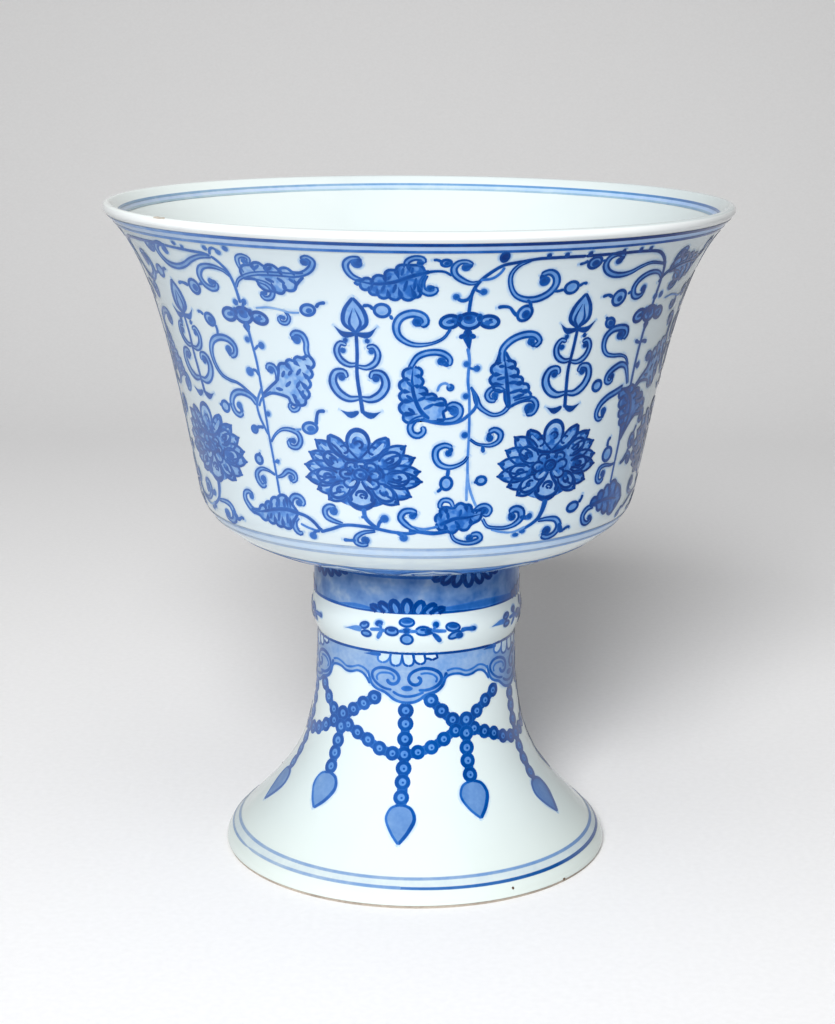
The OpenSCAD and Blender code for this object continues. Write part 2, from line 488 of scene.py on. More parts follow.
def make_sweep(half=3.0, near=-1.5, far=0.5, bend=0.6, top=2.4):
    a = np.linspace(0, np.pi / 2, 24)
    line = np.vstack([
        [(near, 0.0)],
        np.c_[far + bend * np.sin(a), bend - bend * np.cos(a)],
        [(far + bend, top)],
    ])
    points = [(x, y, z) for y, z in line for x in (-half, half)]
    faces = [(2 * i, 2 * i + 1, 2 * i + 3, 2 * i + 2) for i in range(len(line) - 1)]
    mesh = bpy.data.meshes.new("paper_sweep")
    mesh.from_pydata(points, [], faces)
    mesh.polygons.foreach_set("use_smooth", [True] * len(faces))
    mesh.materials.append(make_paper())
    sweep = bpy.data.objects.new("paper_sweep", mesh)
    bpy.context.collection.objects.link(sweep)
    sweep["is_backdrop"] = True


def lamp(name, place, aim, size, power, spread, colour):
    data = bpy.data.lights.new(name, "AREA")
    data.shape, data.size, data.size_y = "RECTANGLE", *size
    data.energy, data.color, data.spread = power, colour, math.radians(spread)
    item = bpy.data.objects.new(name, data)
    back = np.array(place, float) - np.array(aim, float)
    flat = math.hypot(back[0], back[1])
    item.location = place
    item.rotation_euler = (math.atan2(flat, back[2]), 0, math.atan2(back[0], -back[1]))
    bpy.context.collection.objects.link(item)
    return item


make_sweep()
front = lamp(
    "front_lamp", place=(-0.24, -1.42, 0.96), aim=(0, 0.3, 0), size=(0.7, 0.6),
    power=7, spread=75, colour=(1, 0.995, 0.985),
)
front.visible_glossy = False
lamp(
    "top_lamp", place=(-0.1, -0.45, 1.5), aim=(-0.1, -0.4, 0), size=(1.6, 1.2),
    power=3.6, spread=120, colour=(0.985, 0.99, 1),
)
world = bpy.data.worlds.new("studio")
world.use_nodes = True
background = world.node_tree.nodes["Background"].inputs
background["Color"].default_value = (1, 0.97, 0.9, 1)
background["Strength"].default_value = 0.05
bpy.context.scene.world = world

# %% [markdown]
# ## A painter's sheet
# Painted ornament could live in an image, but an image blurs when the model is seen close.
# Here each brush stroke is a film of mesh a few hundredths of a millimetre thick that lies
# on the glaze. A sheet unrolls part of the outline: across it runs the angle in degrees,
# up it the distance along the outline in millimetres, so strokes are planned on the flat.


# %% Sheets of the outline
class Sheet:
    """Part of the outline, unrolled: angle round the cup and run along the outline."""

    def __init__(self, path):
        self.path = path
        self.run = np.r_[0, np.cumsum(np.hypot(*np.diff(path, axis=0).T))]
        along = np.gradient(path, self.run, axis=0)
        along /= np.hypot(*along.T)[:, None]
        self.out = np.c_[along[:, 1], -along[:, 0]]

    def width(self, run):
        """Millimetres across one degree."""
        return np.radians(np.interp(run, self.run, self.path[:, 0]))

    def spot(self, angle, run, lift):
        """Places on the cup in metres and the way they face."""
        r, z, out_r, out_z = (
            np.interp(run, self.run, column) for column in (*self.path.T, *self.out.T)
        )
        r, z, a = r + out_r * lift, z + out_z * lift, np.radians(angle)
        place = np.stack([r * np.sin(a), -r * np.cos(a), z], -1) * MM
        return place, np.stack([out_r * np.sin(a), -out_r * np.cos(a), out_z], -1)


bowl_sheet = Sheet(bowl_out)
rim_sheet = Sheet(inside)
stem_sheet = Sheet(joined([(foot_r, 0)], foot_out, ring_out, neck_out))
for name, sheet in (("bowl", bowl_sheet), ("rim", rim_sheet), ("stem", stem_sheet)):
    print(name, "sheet runs", round(float(sheet.run[-1]), 1), "mm")

# %% [markdown]
# ## The brush
# A stroke is a smooth curve through a few marks, with a width and an ink strength along
# it. Its film has a top that follows the glaze, a skirt that dips into it and a hidden
# back, so it is a closed solid. The ink fades a little towards the sides, as cobalt does
# where it bleeds into the glaze.


# %% Strokes on a sheet
def marks(text):
    """'angle run, angle run' as an array."""
    if not isinstance(text, str):
        return np.array(text, float)
    return np.array([[float(n) for n in pair.split()] for pair in text.split(",")])


def flow(points, step=0.45):
    """Even steps along a smooth curve through the points, and how far along each is."""
    p = np.asarray(points, float)
    gap = np.maximum(np.hypot(*np.diff(p, axis=0).T), 1e-6) ** 0.5
    slope = np.diff(p, axis=0) / gap[:, None]
    tangent = np.vstack([slope[:1], slope, slope[-1:]])
    tangent = (tangent[:-1] + tangent[1:]) / 2
    tangent[1:-1] = (
        slope[:-1] * gap[1:, None] + slope[1:] * gap[:-1, None]
    ) / (gap[1:] + gap[:-1])[:, None]
    t = np.linspace(0, 1, 16, endpoint=False)[:, None]
    runs = []
    for a, b, u, v, g in zip(p, p[1:], tangent, tangent[1:], gap):
        runs.append(
            a * (1 + 2 * t) * (1 - t) ** 2 + u * g * t * (1 - t) ** 2
            + b * t * t * (3 - 2 * t) - v * g * t * t * (1 - t)
        )
    fine = np.vstack([*runs, p[-1:]])
    far = np.r_[0, np.cumsum(np.hypot(*np.diff(fine, axis=0).T))]
    count = max(4, int(far[-1] / step) + 1)
    at = np.linspace(0, far[-1], count)
    tips = np.array([0.02, 0.08, 0.2]) * min(1.0, far[-1] / 2)
    at = np.unique(np.r_[at, tips, far[-1] - tips])
    return np.c_[np.interp(at, far, fine[:, 0]), np.interp(at, far, fine[:, 1])], at


def profile(value, along):
    """A number, or several spread evenly along the stroke."""
    value = np.atleast_1d(np.array(value, float))
    return np.interp(along / along[-1], np.linspace(0, 1, len(value)), value)


print("a stroke of 20 mm takes", len(flow([(0, 0), (20, 0)])[0]), "steps")

# %% Ends, bends and touches
TAPER, TAPER_SHARE, TAPER_TIP, TAPER_BOW = 4.0, 0.6, 0.06, 0.7
SWAY = 0.22


def ending(along, half, ends):
    """Ends that are round (r), tapering (t) or blunt (b), as a factor on the width."""
    factor = np.ones(len(along))
    for kind, d in zip(ends, (along, along[-1] - along)):
        if kind == "r":
            near = np.clip(d / np.maximum(half, 0.05), 0, 1)
            factor *= np.sqrt(np.clip(1 - (1 - near) ** 2, 0.004, 1))
        if kind == "t":
            factor *= np.clip(d / min(TAPER, along[-1] * TAPER_SHARE), TAPER_TIP, 1) ** TAPER_BOW
    return factor


def bend_room(way, along, share=0.8, ease=0.6):
    """How far a stroke may reach to its right and to its left before a tight bend folds it."""
    turning = np.gradient(np.unwrap(np.arctan2(way[:, 1], way[:, 0])), along)
    apart = np.abs(along[:, None] - along)
    return [(share / np.maximum(s * turning, 1e-3) + ease * apart).min(1)[:, None] for s in (-1, 1)]


def disc(rx, ry, rows, columns):
    """Grid over an ellipse: places across it and places up it."""
    t = np.sin(np.linspace(-1, 1, rows) * np.pi / 2) * 0.999
    u = np.repeat(t[:, None] * rx, columns, 1)
    return u, np.sqrt(1 - t**2)[:, None] * np.linspace(-1, 1, columns) * ry


def leaned(sheet, x, y, u, v, lean):
    """Places round a spot, turned by a lean in degrees, as angle and run on a sheet."""
    a = np.radians(lean)
    return x + (u * np.cos(a) - v * np.sin(a)) / sheet.width(y), y + u * np.sin(a) + v * np.cos(a)


def wander(angle, run, shift):
    """Small changes of line, so that no copy repeats the first one exactly."""
    sway = SWAY if shift else 0.0
    across = sway * np.cos(np.radians(angle * 7 + shift * 1.7)) * np.sin(run * 0.13 + shift)
    up = sway * np.sin(np.radians(angle * 9 + shift * 2.3)) * np.cos(run * 0.11 + shift)
    return across, up


print("a touch 4 mm wide has", disc(2, 1, 10, 4)[0].size, "points on top")

# %% Brushes
QUARTERS, HALVES, FIFTHS = (0, 90, 180, 270), (0, 180), (0, 72, 144, 216, 288)
FILM, LEVEL_STEP, SKIRT = 0.03, 0.014, -0.04
STACK, RISE, BLEED_RISE = 60, 0.0005, 0.0001
BLEED, BLEED_INK = 0.65, 0.24
CELL, BAND_CELL = 1.1, 0.9
EDGE_FADE, TOUCH_FADE, BAND_FADE = 0.22, 0.2, 0.15
OUTLINE_SHARE, OUTLINE_LEAST, OUTLINE_MOST = 0.36, 0.17, 0.3
NARROW = np.array([-1, -0.5, 0.5, 1])


class Brush:
    """Strokes that dry as one named piece."""

    kept = []

    def __init__(self, name, sheet, level, ink, finish, slot, turns=QUARTERS):
        self.name, self.sheet, self.ink = name, sheet, ink
        self.lift, self.rise = FILM + LEVEL_STEP * level, RISE if level else BLEED_RISE
        self.finish, self.slot, self.turns = finish, slot, turns
        self.films, self.bleed = [], None
        Brush.kept.append(self)

    def lay(self, angle, run, ink, turns=None, loop=False):
        ink = np.broadcast_to(ink, angle.shape)
        self.films.append((angle, run, ink, turns or self.turns, loop))

    def strength(self, ink):
        return self.ink if ink is None else ink

    def line(self, text, half=0.38, ink=None, ends="rr", side=0.0, turns=None):
        """One stroke; with a side, it follows that side of a wider one."""
        p = marks(text)
        k = self.sheet.width(p[:, 1].mean())
        xy, along = flow(p * (k, 1))
        way = np.gradient(xy, along, axis=0)
        way /= np.maximum(np.hypot(*way.T), 1e-9)[:, None]
        left = np.c_[-way[:, 1], way[:, 0]]
        right_room, left_room = bend_room(way, along)
        w = profile(half, along)
        if side:
            thin = np.clip(OUTLINE_SHARE * w, OUTLINE_LEAST, OUTLINE_MOST)
            shift = np.maximum(w * ending(along, w, ends) - 0.7 * thin, 0) * side
            xy = xy + left * shift[:, None]
            w, ends = thin, "rr"
        w = w * ending(along, w, ends)
        n = max(4, int(2 * w.max() / CELL) + 2)
        c = np.linspace(-1, 1, n) if n > 4 else NARROW
        reach = np.clip(w[:, None] * c, -right_room, left_room)
        grid = xy[:, None] + left[:, None] * reach[..., None]
        tone = profile(self.strength(ink), along)[:, None]
        self.lay(grid[..., 0] / k, grid[..., 1], tone * (1 - EDGE_FADE * np.abs(c) ** 3), turns)
        if self.bleed:
            pick = np.unique(np.r_[0:len(xy):2, len(xy) - 1])
            wide = np.clip((w + BLEED)[pick, None] * (-1, 0, 1), -right_room[pick], left_room[pick])
            soft = xy[pick, None] + left[pick, None] * wide[..., None]
            soft[[0, -1]] += (way[[0, -1]] * [[-BLEED], [BLEED]])[:, None]
            tone = BLEED_INK * tone[pick] * (0, 1, 0)
            self.bleed.lay(soft[..., 0] / k, soft[..., 1], tone, turns or self.turns)

    def dot(self, x, y, rx, ry=None, lean=0.0, ink=None, turns=None):
        """A touch of the brush, round or leaning."""
        ry = ry or rx
        u, v = disc(rx, ry, max(9, int(rx * 5)), max(4, int(ry * 2.2)))
        fade = 1 - TOUCH_FADE * (u**2 / rx**2 + v**2 / ry**2)
        self.lay(*leaned(self.sheet, x, y, u, v, lean), self.strength(ink) * fade, turns)
        if self.bleed:
            self.bleed.halo(x, y, rx, ry, lean, turns or self.turns)

    def halo(self, x, y, rx, ry, lean, turns):
        """A soft disc a little wider than a touch, fading to nothing at its edge."""
        rx, ry = rx + BLEED, ry + BLEED
        u, v = disc(rx, ry, 9, 5)
        fade = 1 - np.clip(u**2 / rx**2 + v**2 / ry**2, 0, 1)
        self.lay(*leaned(self.sheet, x, y, u, v, lean), 2 * BLEED_INK * fade, turns)

    def hoop(self, x, y, rx, ry, lean=0.0, half=0.3, turns=None):
        """A ring drawn round a spot."""
        s = np.linspace(0, 2 * np.pi, max(14, int(rx * 14)), endpoint=False)[:, None]
        u, v = np.cos(s) * (rx - half * NARROW), np.sin(s) * (ry - half * NARROW)
        tone = self.ink * (1 - TOUCH_FADE * np.abs(NARROW) ** 3)
        self.lay(*leaned(self.sheet, x, y, u, v, lean), tone, turns, True)
        if self.bleed:
            self.bleed.halo(x, y, rx, ry, lean, turns or self.turns)

    def fill(self, right, left, ink=None, turns=None):
        """A wash between two edges that start and end together."""
        right, left = marks(right), marks(left)
        k = self.sheet.width(np.vstack([right, left])[:, 1].mean())
        (a, far_a), (b, far_b) = flow(right * (k, 1)), flow(left * (k, 1))
        rows = np.linspace(0, 1, max(len(a), len(b)))
        a = np.c_[[np.interp(rows, far_a / far_a[-1], col) for col in a.T]].T
        b = np.c_[[np.interp(rows, far_b / far_b[-1], col) for col in b.T]].T
        way, over = np.gradient((a + b) / 2, axis=0), b - a
        if (way[:, 0] * over[:, 1] - way[:, 1] * over[:, 0]).sum() < 0:
            a, b = b, a
        n = max(4, int(np.hypot(*(b - a).T).max() / CELL) + 2)
        c = np.linspace(0, 1, n)
        grid = a[:, None] + (b - a)[:, None] * c[None, :, None]
        tone = profile(self.strength(ink), rows)[:, None]
        self.lay(grid[..., 0] / k, grid[..., 1], tone, turns)

    def band(self, low, high, ink=None, count=256):
        """A band right round the cup; several inks are spread evenly round it from the front."""
        a = np.linspace(0, 360, count, endpoint=False)
        n = max(4, int((high - low) / BAND_CELL) + 2)
        run = np.linspace(low, high, n)
        tone = profile(self.strength(ink), np.arange(count) + 1)[:, None] * np.ones(n)
        tone[:, [0, -1]] *= 1 - BAND_FADE
        self.lay(np.repeat(a[:, None], n, 1), np.repeat(run[None], count, 0), tone, (0,), True)

    def dry(self):
        """All films as one mesh, each with its skirt, back and ends."""
        points, faces, ways, inks, base = [], [], [], [], 0
        for index, (angle, run, ink, turns, loop) in enumerate(self.films):
            n, m = angle.shape
            edge = [*range(m), *(range(m - 1, -1, -1) if m > 5 else (m - 1, 0))]
            w = len(edge)
            lift = np.full(w, SKIRT)
            lift[:m] = self.lift + self.rise * (index % STACK)
            i, j = np.meshgrid(np.arange(n if loop else n - 1), np.arange(w), indexing="ij")
            on, up = (i + 1) % n, (j + 1) % w
            quads = np.stack([i * w + j, on * w + j, on * w + up, i * w + up], -1).reshape(-1, 4)
            caps = [] if loop else [list(range(w)), list(range(n * w - 1, (n - 1) * w - 1, -1))]
            a, v = angle[:, edge], run[:, edge]
            for shift in turns:
                across, up_by = wander(a, v, shift)
                place, way = self.sheet.spot(a + shift + across, v + up_by, lift)
                points.append(place.reshape(-1, 3))
                ways.append(way.reshape(-1, 3))
                inks.append(ink[:, edge].ravel())
                faces.extend((quads + base).tolist())
                faces.extend([[q + base for q in cap] for cap in caps])
                base += n * w
        mesh = bpy.data.meshes.new(self.name)
        mesh.from_pydata(np.vstack(points), [], faces)
        mesh.polygons.foreach_set("use_smooth", [True] * len(mesh.polygons))
        mesh.attributes.new("ink", "FLOAT", "POINT").data.foreach_set("value", np.concatenate(inks))
        mesh.normals_split_custom_set_from_vertices(np.vstack(ways))
        mesh.materials.append(self.finish)
        piece = bpy.data.objects.new(self.name, mesh)
        bpy.context.collection.objects.link(piece)
        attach(piece, "root")
        print(self.name, len(self.films), "strokes", len(mesh.polygons), "faces")


def wash(name, sheet=bowl_sheet, level=1, ink=0.5, turns=QUARTERS, finish=cobalt_wash):
    return Brush(name, sheet, level, ink, finish, "cobalt_wash", turns)


def lines(name, sheet=bowl_sheet, level=7, ink=0.84, turns=QUARTERS, bleed=None, finish=cobalt_line):
    brush = Brush(name, sheet, level, ink, finish, "cobalt", turns)
    brush.bleed = bleed
    return brush


def tally(*brushes):
    """How many strokes each brush holds so far."""
    print({brush.name: len(brush.films) for brush in brushes})


bowl_bleed = wash("bowl_bleed", bowl_sheet, 0)
stem_bleed = wash("stem_bleed", stem_sheet, 0)
tally(bowl_bleed, stem_bleed)

# %% [markdown]
# ## Rings round the rim and the heel
# A painter holds a loaded brush still while the wheel turns, so these rings are even.
# Outside the lip a dark line and a softer one enclose a thin blue wash.

# %% Rings of the bowl
rim_wash = wash("rim_wash", ink=0.17, finish=cobalt_thin)
rim_wash.band(101.4, 103.4)
rim_lines = lines("rim_lines")
rim_lines.band(103.1, 104.0, (
    0.92, 0.95, 0.98, 0.98, 0.98, 0.94, 0.9, 0.88, 0.86, 0.83, 0.8, 0.77, 0.74,
    0.72, 0.7, 0.68, 0.66, 0.6, 0.52, 0.48, 0.46, 0.52, 0.92, 0.92, 0.92,
))
rim_lines.band(101.1, 101.85, (0.66, 0.7, 0.72, 0.7, 0.7, 0.7, 0.68, 0.66, 0.62, 0.56, 0.5, 0.58, 0.66))
inner_lines = lines("inner_rim_lines", rim_sheet, finish=cobalt_inner)
heel_wash = wash("heel_wash", ink=0.11, finish=cobalt_thin)
heel_wash.band(26.8, 29.5)
heel_lines = lines("heel_lines", ink=0.26, finish=cobalt_ring)
heel_lines.band(26.3, 27.1, (0.27, 0.32, 0.34, 0.3, 0.28, 0.26, 0.26, 0.26, 0.26, 0.26, 0.26, 0.28, 0.27))
heel_lines.band(29.1, 29.8, (0.28, 0.36, 0.36, 0.3, 0.28, 0.26, 0.26, 0.28, 0.3, 0.36, 0.38, 0.28, 0.28))
tally(rim_wash, rim_lines, heel_wash, heel_lines)

# %% [markdown]
# ## The scrolling vine
# Stems rise between the blooms and send out curls, buds and leaves on both sides.
# The painter drew every form in outline and filled it with a paler wash. One wide stroke
# would look flat, so each form here lays a pale wash first and its dark lines over it.

# %% Curls and buds as ready forms
vine = lines("vine_lines", ink=0.78, bleed=bowl_bleed)
curl_wash = wash("curl_wash", ink=0.4)
curl_line = lines("curl_lines", bleed=bowl_bleed)
bud_wash = wash("bud_wash", ink=0.36)
bud_line = lines("bud_lines", bleed=bowl_bleed)


def cored(core, edge, path, half, turns=None):
    """A pale stroke between two dark lines."""
    core.line(path, half, ends="br", turns=turns)
    for side in (-1, 1):
        edge.line(path, half, ends="br", side=side, turns=turns)


def scroll(text, eye, half, turns=None):
    """A curling tendril with a pale core, hooked into a dark eye where it has one."""
    cored(curl_wash, curl_line, text, half, turns)
    if eye:
        x, y, r = eye
        curl_line.dot(x, y, r, turns=turns)
        curl_line.line([marks(text)[-1], (x, y)], (0.5, 0.8 * r), turns=turns)


def bud(x, y, rx, ry, lean, tail, spot=0.5, turns=None):
    """A drop with a dark rim, a dark middle and a thin tail."""
    bud_wash.dot(x, y, rx, ry, lean, turns=turns)
    bud_line.hoop(x, y, rx - 0.25, ry - 0.25, lean, 0.36, turns=turns)
    if spot:
        bud_line.dot(x + 0.12 * rx, y - 0.12 * ry, rx * spot, ry * spot, lean, turns=turns)
    if tail:
        bud_line.line(tail, (0.5, 0.34, 0.46), turns=turns)


tally(vine, curl_wash, curl_line, bud_wash, bud_line)

# %% Leaves as a ready form
leaf_wash = wash("leaf_wash", ink=0.34, finish=cobalt_leaf)
leaf_line = lines("leaf_lines", ink=0.88, bleed=bowl_bleed)
leaf_rib = lines("leaf_ribs", ink=0.88)


def lobed(text, bulge):
    """An edge whose parts run plain, lobed, plain and so on between bars, and its notches."""
    out, notches, swell = [], [], False
    for part in text.split("|"):
        for point in marks(part):
            if out and swell:
                start, way = out[-1], point - out[-1]
                side = np.array((-way[1], way[0])) * bulge
                out += [start + way * 0.22 + side * 0.75, start + way * 0.6 + side]
                notches.append(len(out))
            out.append(point)
        swell = not swell
    return np.array(out), notches


def inward(edge, other, i, share=0.36):
    """A short way in from a notch of one edge towards the other edge."""
    far, reach = (np.r_[0, np.cumsum(np.hypot(*np.diff(e, axis=0).T))] for e in (edge, other))
    facing = [np.interp(far[i] / far[-1] * reach[-1], reach, column) for column in other.T]
    return [edge[i], edge[i] + (np.array(facing) - edge[i]) * share]


def leaf(right, left, vein="", ribs="", bulge=0.28, ink=None, turns=None):
    """A lobed leaf: flecked wash, dark edges, a wedge at each notch, a vein and short ribs."""
    (a, a_notches), (b, b_notches) = lobed(right, -bulge), lobed(left, bulge)
    leaf_wash.fill(a, b, ink, turns)
    for edge, other, notches in ((a, b, a_notches), (b, a, b_notches)):
        leaf_line.line(edge, 0.36, turns=turns)
        for i in notches:
            leaf_rib.line(inward(edge, other, i), (0.7, 0.5, 0.2), ends="rt", turns=turns)
    if vein:
        leaf_line.line(vein, (0.55, 0.45, 0.3), ends="rt", turns=turns)
    for rib in ribs.split("|") if ribs else ():
        leaf_rib.line(rib, (0.25, 0.45, 0.25), 0.84, turns=turns)


tally(leaf_wash, leaf_line, leaf_rib)

# %% Middle stem
vine.line(
    "9.5 85.5, 9.6 88, 9.8 90.5, 10.8 93.2, 13 96, 14.8 97.6, 16.5 98.1, 19.5 98.8, 21 99.1, "
    "24 99.2, 30 99.2", 0.42, (0.8, 0.86, 0.94, 0.96),
)
vine.line(
    "30 99.2, 38 99.3, 44 99.2, 48 98.6, 50.5 97, 52.5 94.8, 53.8 92, 54.6 88, 54.8 85", 0.42,
    (0.96, 0.94, 0.88, 0.84), turns=HALVES,
)
vine.line("30 99.2, 34 99.2, 38 99", (0.42, 0.34), (0.96, 0.84), turns=(90, 270))
vine.line("11 93.8, 13.2 94.2, 14.5 95.6, 15 97", 0.34, 0.6)
vine.dot(14.6, 99.9, 1.15, 1.65, ink=1.0)
for x in (22.6, 26, 30.7, 38, 42.2, 44.8):
    vine.dot(x, 99.8, 0.6, 0.75, ink=0.92, turns=HALVES)
vine.line("10.2 92, 10.6 91.2, 11.8 90.7", (0.3, 0.35))
vine.dot(11.9, 90.8, 0.8)
vine.line("9.7 90.2, 9 89, 7.8 88.8, 7 89.6", (0.3, 0.45, 0.4))
vine.dot(6.9, 89.7, 0.75)
vine.line(
    "9.8 77.5, 10.3 75, 10.3 70, 10.8 66, 11.2 58, 11.3 50, 11.7 46, 12.8 42.5, 14 40",
    (0.36, 0.3, 0.3, 0.34), (0.62, 0.6, 0.5, 0.42),
)
vine.line("11.4 48, 11.4 45, 11.5 41.5", 0.32, 0.4)
for x, y, r in ((9.8, 73.8, 0.7), (12, 72.7, 0.75), (10.1, 66.3, 0.7), (10.3, 57.2, 0.75)):
    vine.dot(x, y, r)
vine.line("10.4 73, 11.2 72.6, 12 72.7", 0.28)
tally(vine)

# %% Curls of the middle stem
scroll(
    "11 93.4, 9.5 93, 7.8 93.8, 6.4 95.3, 6.1 97, 6.9 98.5, 8.2 98.7, 9.3 97.8", (8.2, 97.2, 1.05),
    (0.35, 0.7, 0.75, 0.5),
)
scroll(
    "19.5 98.8, 17.5 97.3, 16.5 95, 16.9 92, 18.2 89.7, 20.5 88.6, 23 88.8, 25 90.2, 25.8 92.2, "
    "25.2 94.3, 23.8 95.3, 22.2 94.6", (23.3, 93, 1.25), (0.45, 0.5, 0.6, 0.85, 0.9, 0.75),
)
scroll(
    "6.2 82, 5 80, 3 78.8, 0 78.3, -2 78.8, -3.8 80.4, -4.2 82.8, -3.2 84.8, -1 85.7, 0.9 85, "
    "1.4 83.6, 0.4 82.7", (-0.2, 83.7, 1.1), (0.3, 0.35, 0.6, 0.85, 0.95, 0.8),
)
scroll("-1.6 73, 0 75.6, 2.5 76.6, 5 76.3, 6.4 74.9, 6.2 73.4", (4.7, 74.5, 0.95), (0.55, 0.75, 0.75, 0.6))
scroll(
    "17.2 74, 17 76.8, 18.6 79, 21.4 80.2, 23.7 79.9, 24.8 78.4, 23.8 77.2", (22.9, 78.5, 0.9),
    (0.7, 0.85, 0.85, 0.6),
)
scroll("20 64, 18.5 62.2, 16.5 61.7, 14.5 62.6, 13 64, 12 66.5, 11 68.5", None, (0.6, 0.45, 0.5, 0.7, 0.2))
scroll(
    "11.5 56.2, 13 55.1, 14.5 54.7, 16.5 54.6, 18.2 55.6, 18.4 57.2, 16.9 58.2, 15.6 57.6",
    (16, 56.2, 0.85), (0.3, 0.35, 0.55, 0.75, 0.6),
)
scroll(
    "11.3 52.2, 10.5 51, 9 50.1, 7 49.7, 5 50.4, 4 52, 4.2 54, 6 54.9, 7.7 54.3", (6.9, 53, 0.8),
    (0.3, 0.5, 0.75, 0.75, 0.55),
)
scroll(
    "8 34.4, 9 32.4, 11.5 31.3, 14 31.4, 15.5 32.3, 14.8 33.4, 13 33.3", (12.8, 32.6, 0.9),
    (0.35, 0.55, 0.75, 0.6),
)
scroll(
    "15.7 37, 17 35.2, 19 34.7, 21.5 34.5, 24 35.1, 25.6 36.5, 25.4 38.3, 23.8 38.9, 22.4 38",
    (23.2, 37, 0.95), (0.4, 0.4, 0.5, 0.95, 0.8),
)
vine.line("18 34.3, 21 33.5, 24 33.3, 27 34.3", 0.25, 0.45)
for x, y in ((24.7, 32.5), (26.4, 33.2)):
    vine.dot(x, y, 0.8, 0.5)
vine.line("14.5 54.6, 14.6 53.5, 14.9 53", (0.35, 0.6))
leaf_line.line("5.8 95, 4.6 96, 3.2 96.2, 1 95.8", (0.3, 0.3, 0.4))
tally(curl_wash, curl_line)

# %% Buds of the middle stem
bud(4.7, 98.4, 1.3, 1.15, 0, "3.8 98.8, 3.1 99.3, 2.5 99.2")
bud(29.4, 91, 1.9, 1.7, 0, "31 91.2, 31.9 91.9, 32.7 91.7", 0)
curl_line.line("25.6 90.4, 26.5 90.3, 27.8 90.6", 0.35)
bud(20.6, 85.3, 1.8, 2.1, -30, "19.2 84.7, 18.3 85.6, 17.4 86.8, 16 87.1, 15 86.9", 0.5)
vine.line("20.6 88.5, 21.4 87.6, 21.7 86.5", 0.4)
bud(-6.8, 86.3, 1.9, 1.75, 0, "-8.4 86.5, -9.2 87.4, -10.4 87.3", 0)
vine.line("-5.3 85.2, -4.9 84.2", 0.4)
bud(6.7, 68.4, 0.8, 0.8, 0, None, 0.6)
vine.line("4 67.5, 4.6 69, 5.8 69.4, 6.6 68.5", 0.3, 0.5)
bud(6.6, 45.9, 1.5, 1.75, 0, "5.6 44.8, 5 44.2, 4.5 43.9", 0)
vine.line("7 49.4, 6.9 48.2, 6.7 47.4", 0.45)
bud(14.7, 46.3, 1.35, 1.2, 0, "13.6 46, 13 45.9", 0)
tally(bud_wash, bud_line)

# %% [markdown]
# ## Knots
# Where a stem passes the mouth of the curls the painter tied it with a cloud-shaped knot:
# three round lobes side by side, with a pair of leaf tips below.

# %% Knots
knot_wash = wash("knot_wash", ink=0.72)
knot_line = lines("knot_lines", ink=0.92, bleed=bowl_bleed)
knot_light = wash("knot_lights", level=4, ink=0.4)


def bow(x, y, rx, ry, start, stop, lean=0.0):
    """Marks along part of an ellipse round a spot, from one angle to another."""
    t = np.radians(np.linspace(start, stop, 9))
    return np.c_[leaned(bowl_sheet, x, y, rx * np.cos(t), ry * np.sin(t), lean)]


def knot(x, y, stalk, turns=None):
    """A cloud of three lobes, each with a pale bow and a dark spot, over a pointed calyx."""
    for dx, dy, rx, ry, lean, start, stop, spot_x, spot_y, spot_r in (
        (-3.8, -0.15, 2.35, 1.8, 10, 60, 310, 0.5, 0.1, 0.5),
        (3.9, -0.3, 2.4, 1.7, -10, 200, -80, 0.2, 0.45, 0.45),
        (0, 0, 2.7, 2.15, 0, 165, 400, -0.3, 0.75, 0.95),
    ):
        at = x + dx, y + dy
        knot_wash.dot(*at, rx, ry, lean, turns=turns)
        knot_line.hoop(*at, rx - 0.35, ry - 0.35, lean, 0.42, turns=turns)
        light = bow(*at, rx - 1.1, ry - 0.95, start, stop, lean)
        knot_light.line(light, (0.2, 0.4, 0.36, 0.2), turns=turns)
        knot_line.dot(at[0] + spot_x, at[1] + spot_y, spot_r, 0.75 * spot_r, turns=turns)
    for dx in (-1.9, 1.9):
        knot_line.dot(x + dx, y + 0.7, 0.7, 1.0, turns=turns)
    knot_line.line(stalk, (0.9, 1.05, 0.8, 0.4), ends="rt", turns=turns)


knot(9.8, 83.9, "9.7 82, 9.6 80.4, 9.9 78.6, 10.3 76.4")
knot_line.line("9.4 80.6, 8.4 80.2, 7.9 80.1", (0.5, 0.6, 0.5))
knot_line.line("10 80.6, 10.8 80.2, 11.3 80.1", (0.5, 0.6, 0.5))
tally(knot_wash, knot_line, knot_light)

# %% Leaves of the middle stem
leaf(
    "0.6 61, 3 60.5, 5.6 60.9, 5.4 62.8 | 5.9 64.6, 4 65.8, 1.9 66.8, 0.3 68.6, 0.5 71, -0.2 73.2",
    "0.6 61, -1.8 60.2 | -3 62.2, -3.1 65.2, -3.2 67.6, -2.8 70.4, -1.6 73",
    "2.4 61, 0.6 63, -0.8 66.6, -1.2 70, -1 73",
    "-1 65.4, -2.4 66.6 | -1.1 68.6, -2.3 69.8 | 1.2 63.4, 3.4 64.6 | 0 65.4, 1.6 66.2 | "
    "-0.6 62.4, -2 63.6",
)
scroll(
    "4 60.7, 6 60.6, 8 61, 9 62.2, 8.8 63.8, 7.4 64.5, 6.2 63.8", (7.7, 62.8, 1.0),
    (0.5, 0.7, 0.75, 0.6),
)
scroll("1.4 61.6, -0.6 60.8, -1.6 59.3, -1.2 57.7, 0.2 57.2, 1.3 58.2, 1 59.4", None, (0.5, 0.7, 0.75, 0.6))
vine.line("1 61.2, 3 60.4, 6 60, 9 60.5, 11 62, 12.4 64, 12 66.5, 11 68.5", (0.4, 0.4, 0.4, 0.3), 0.75)
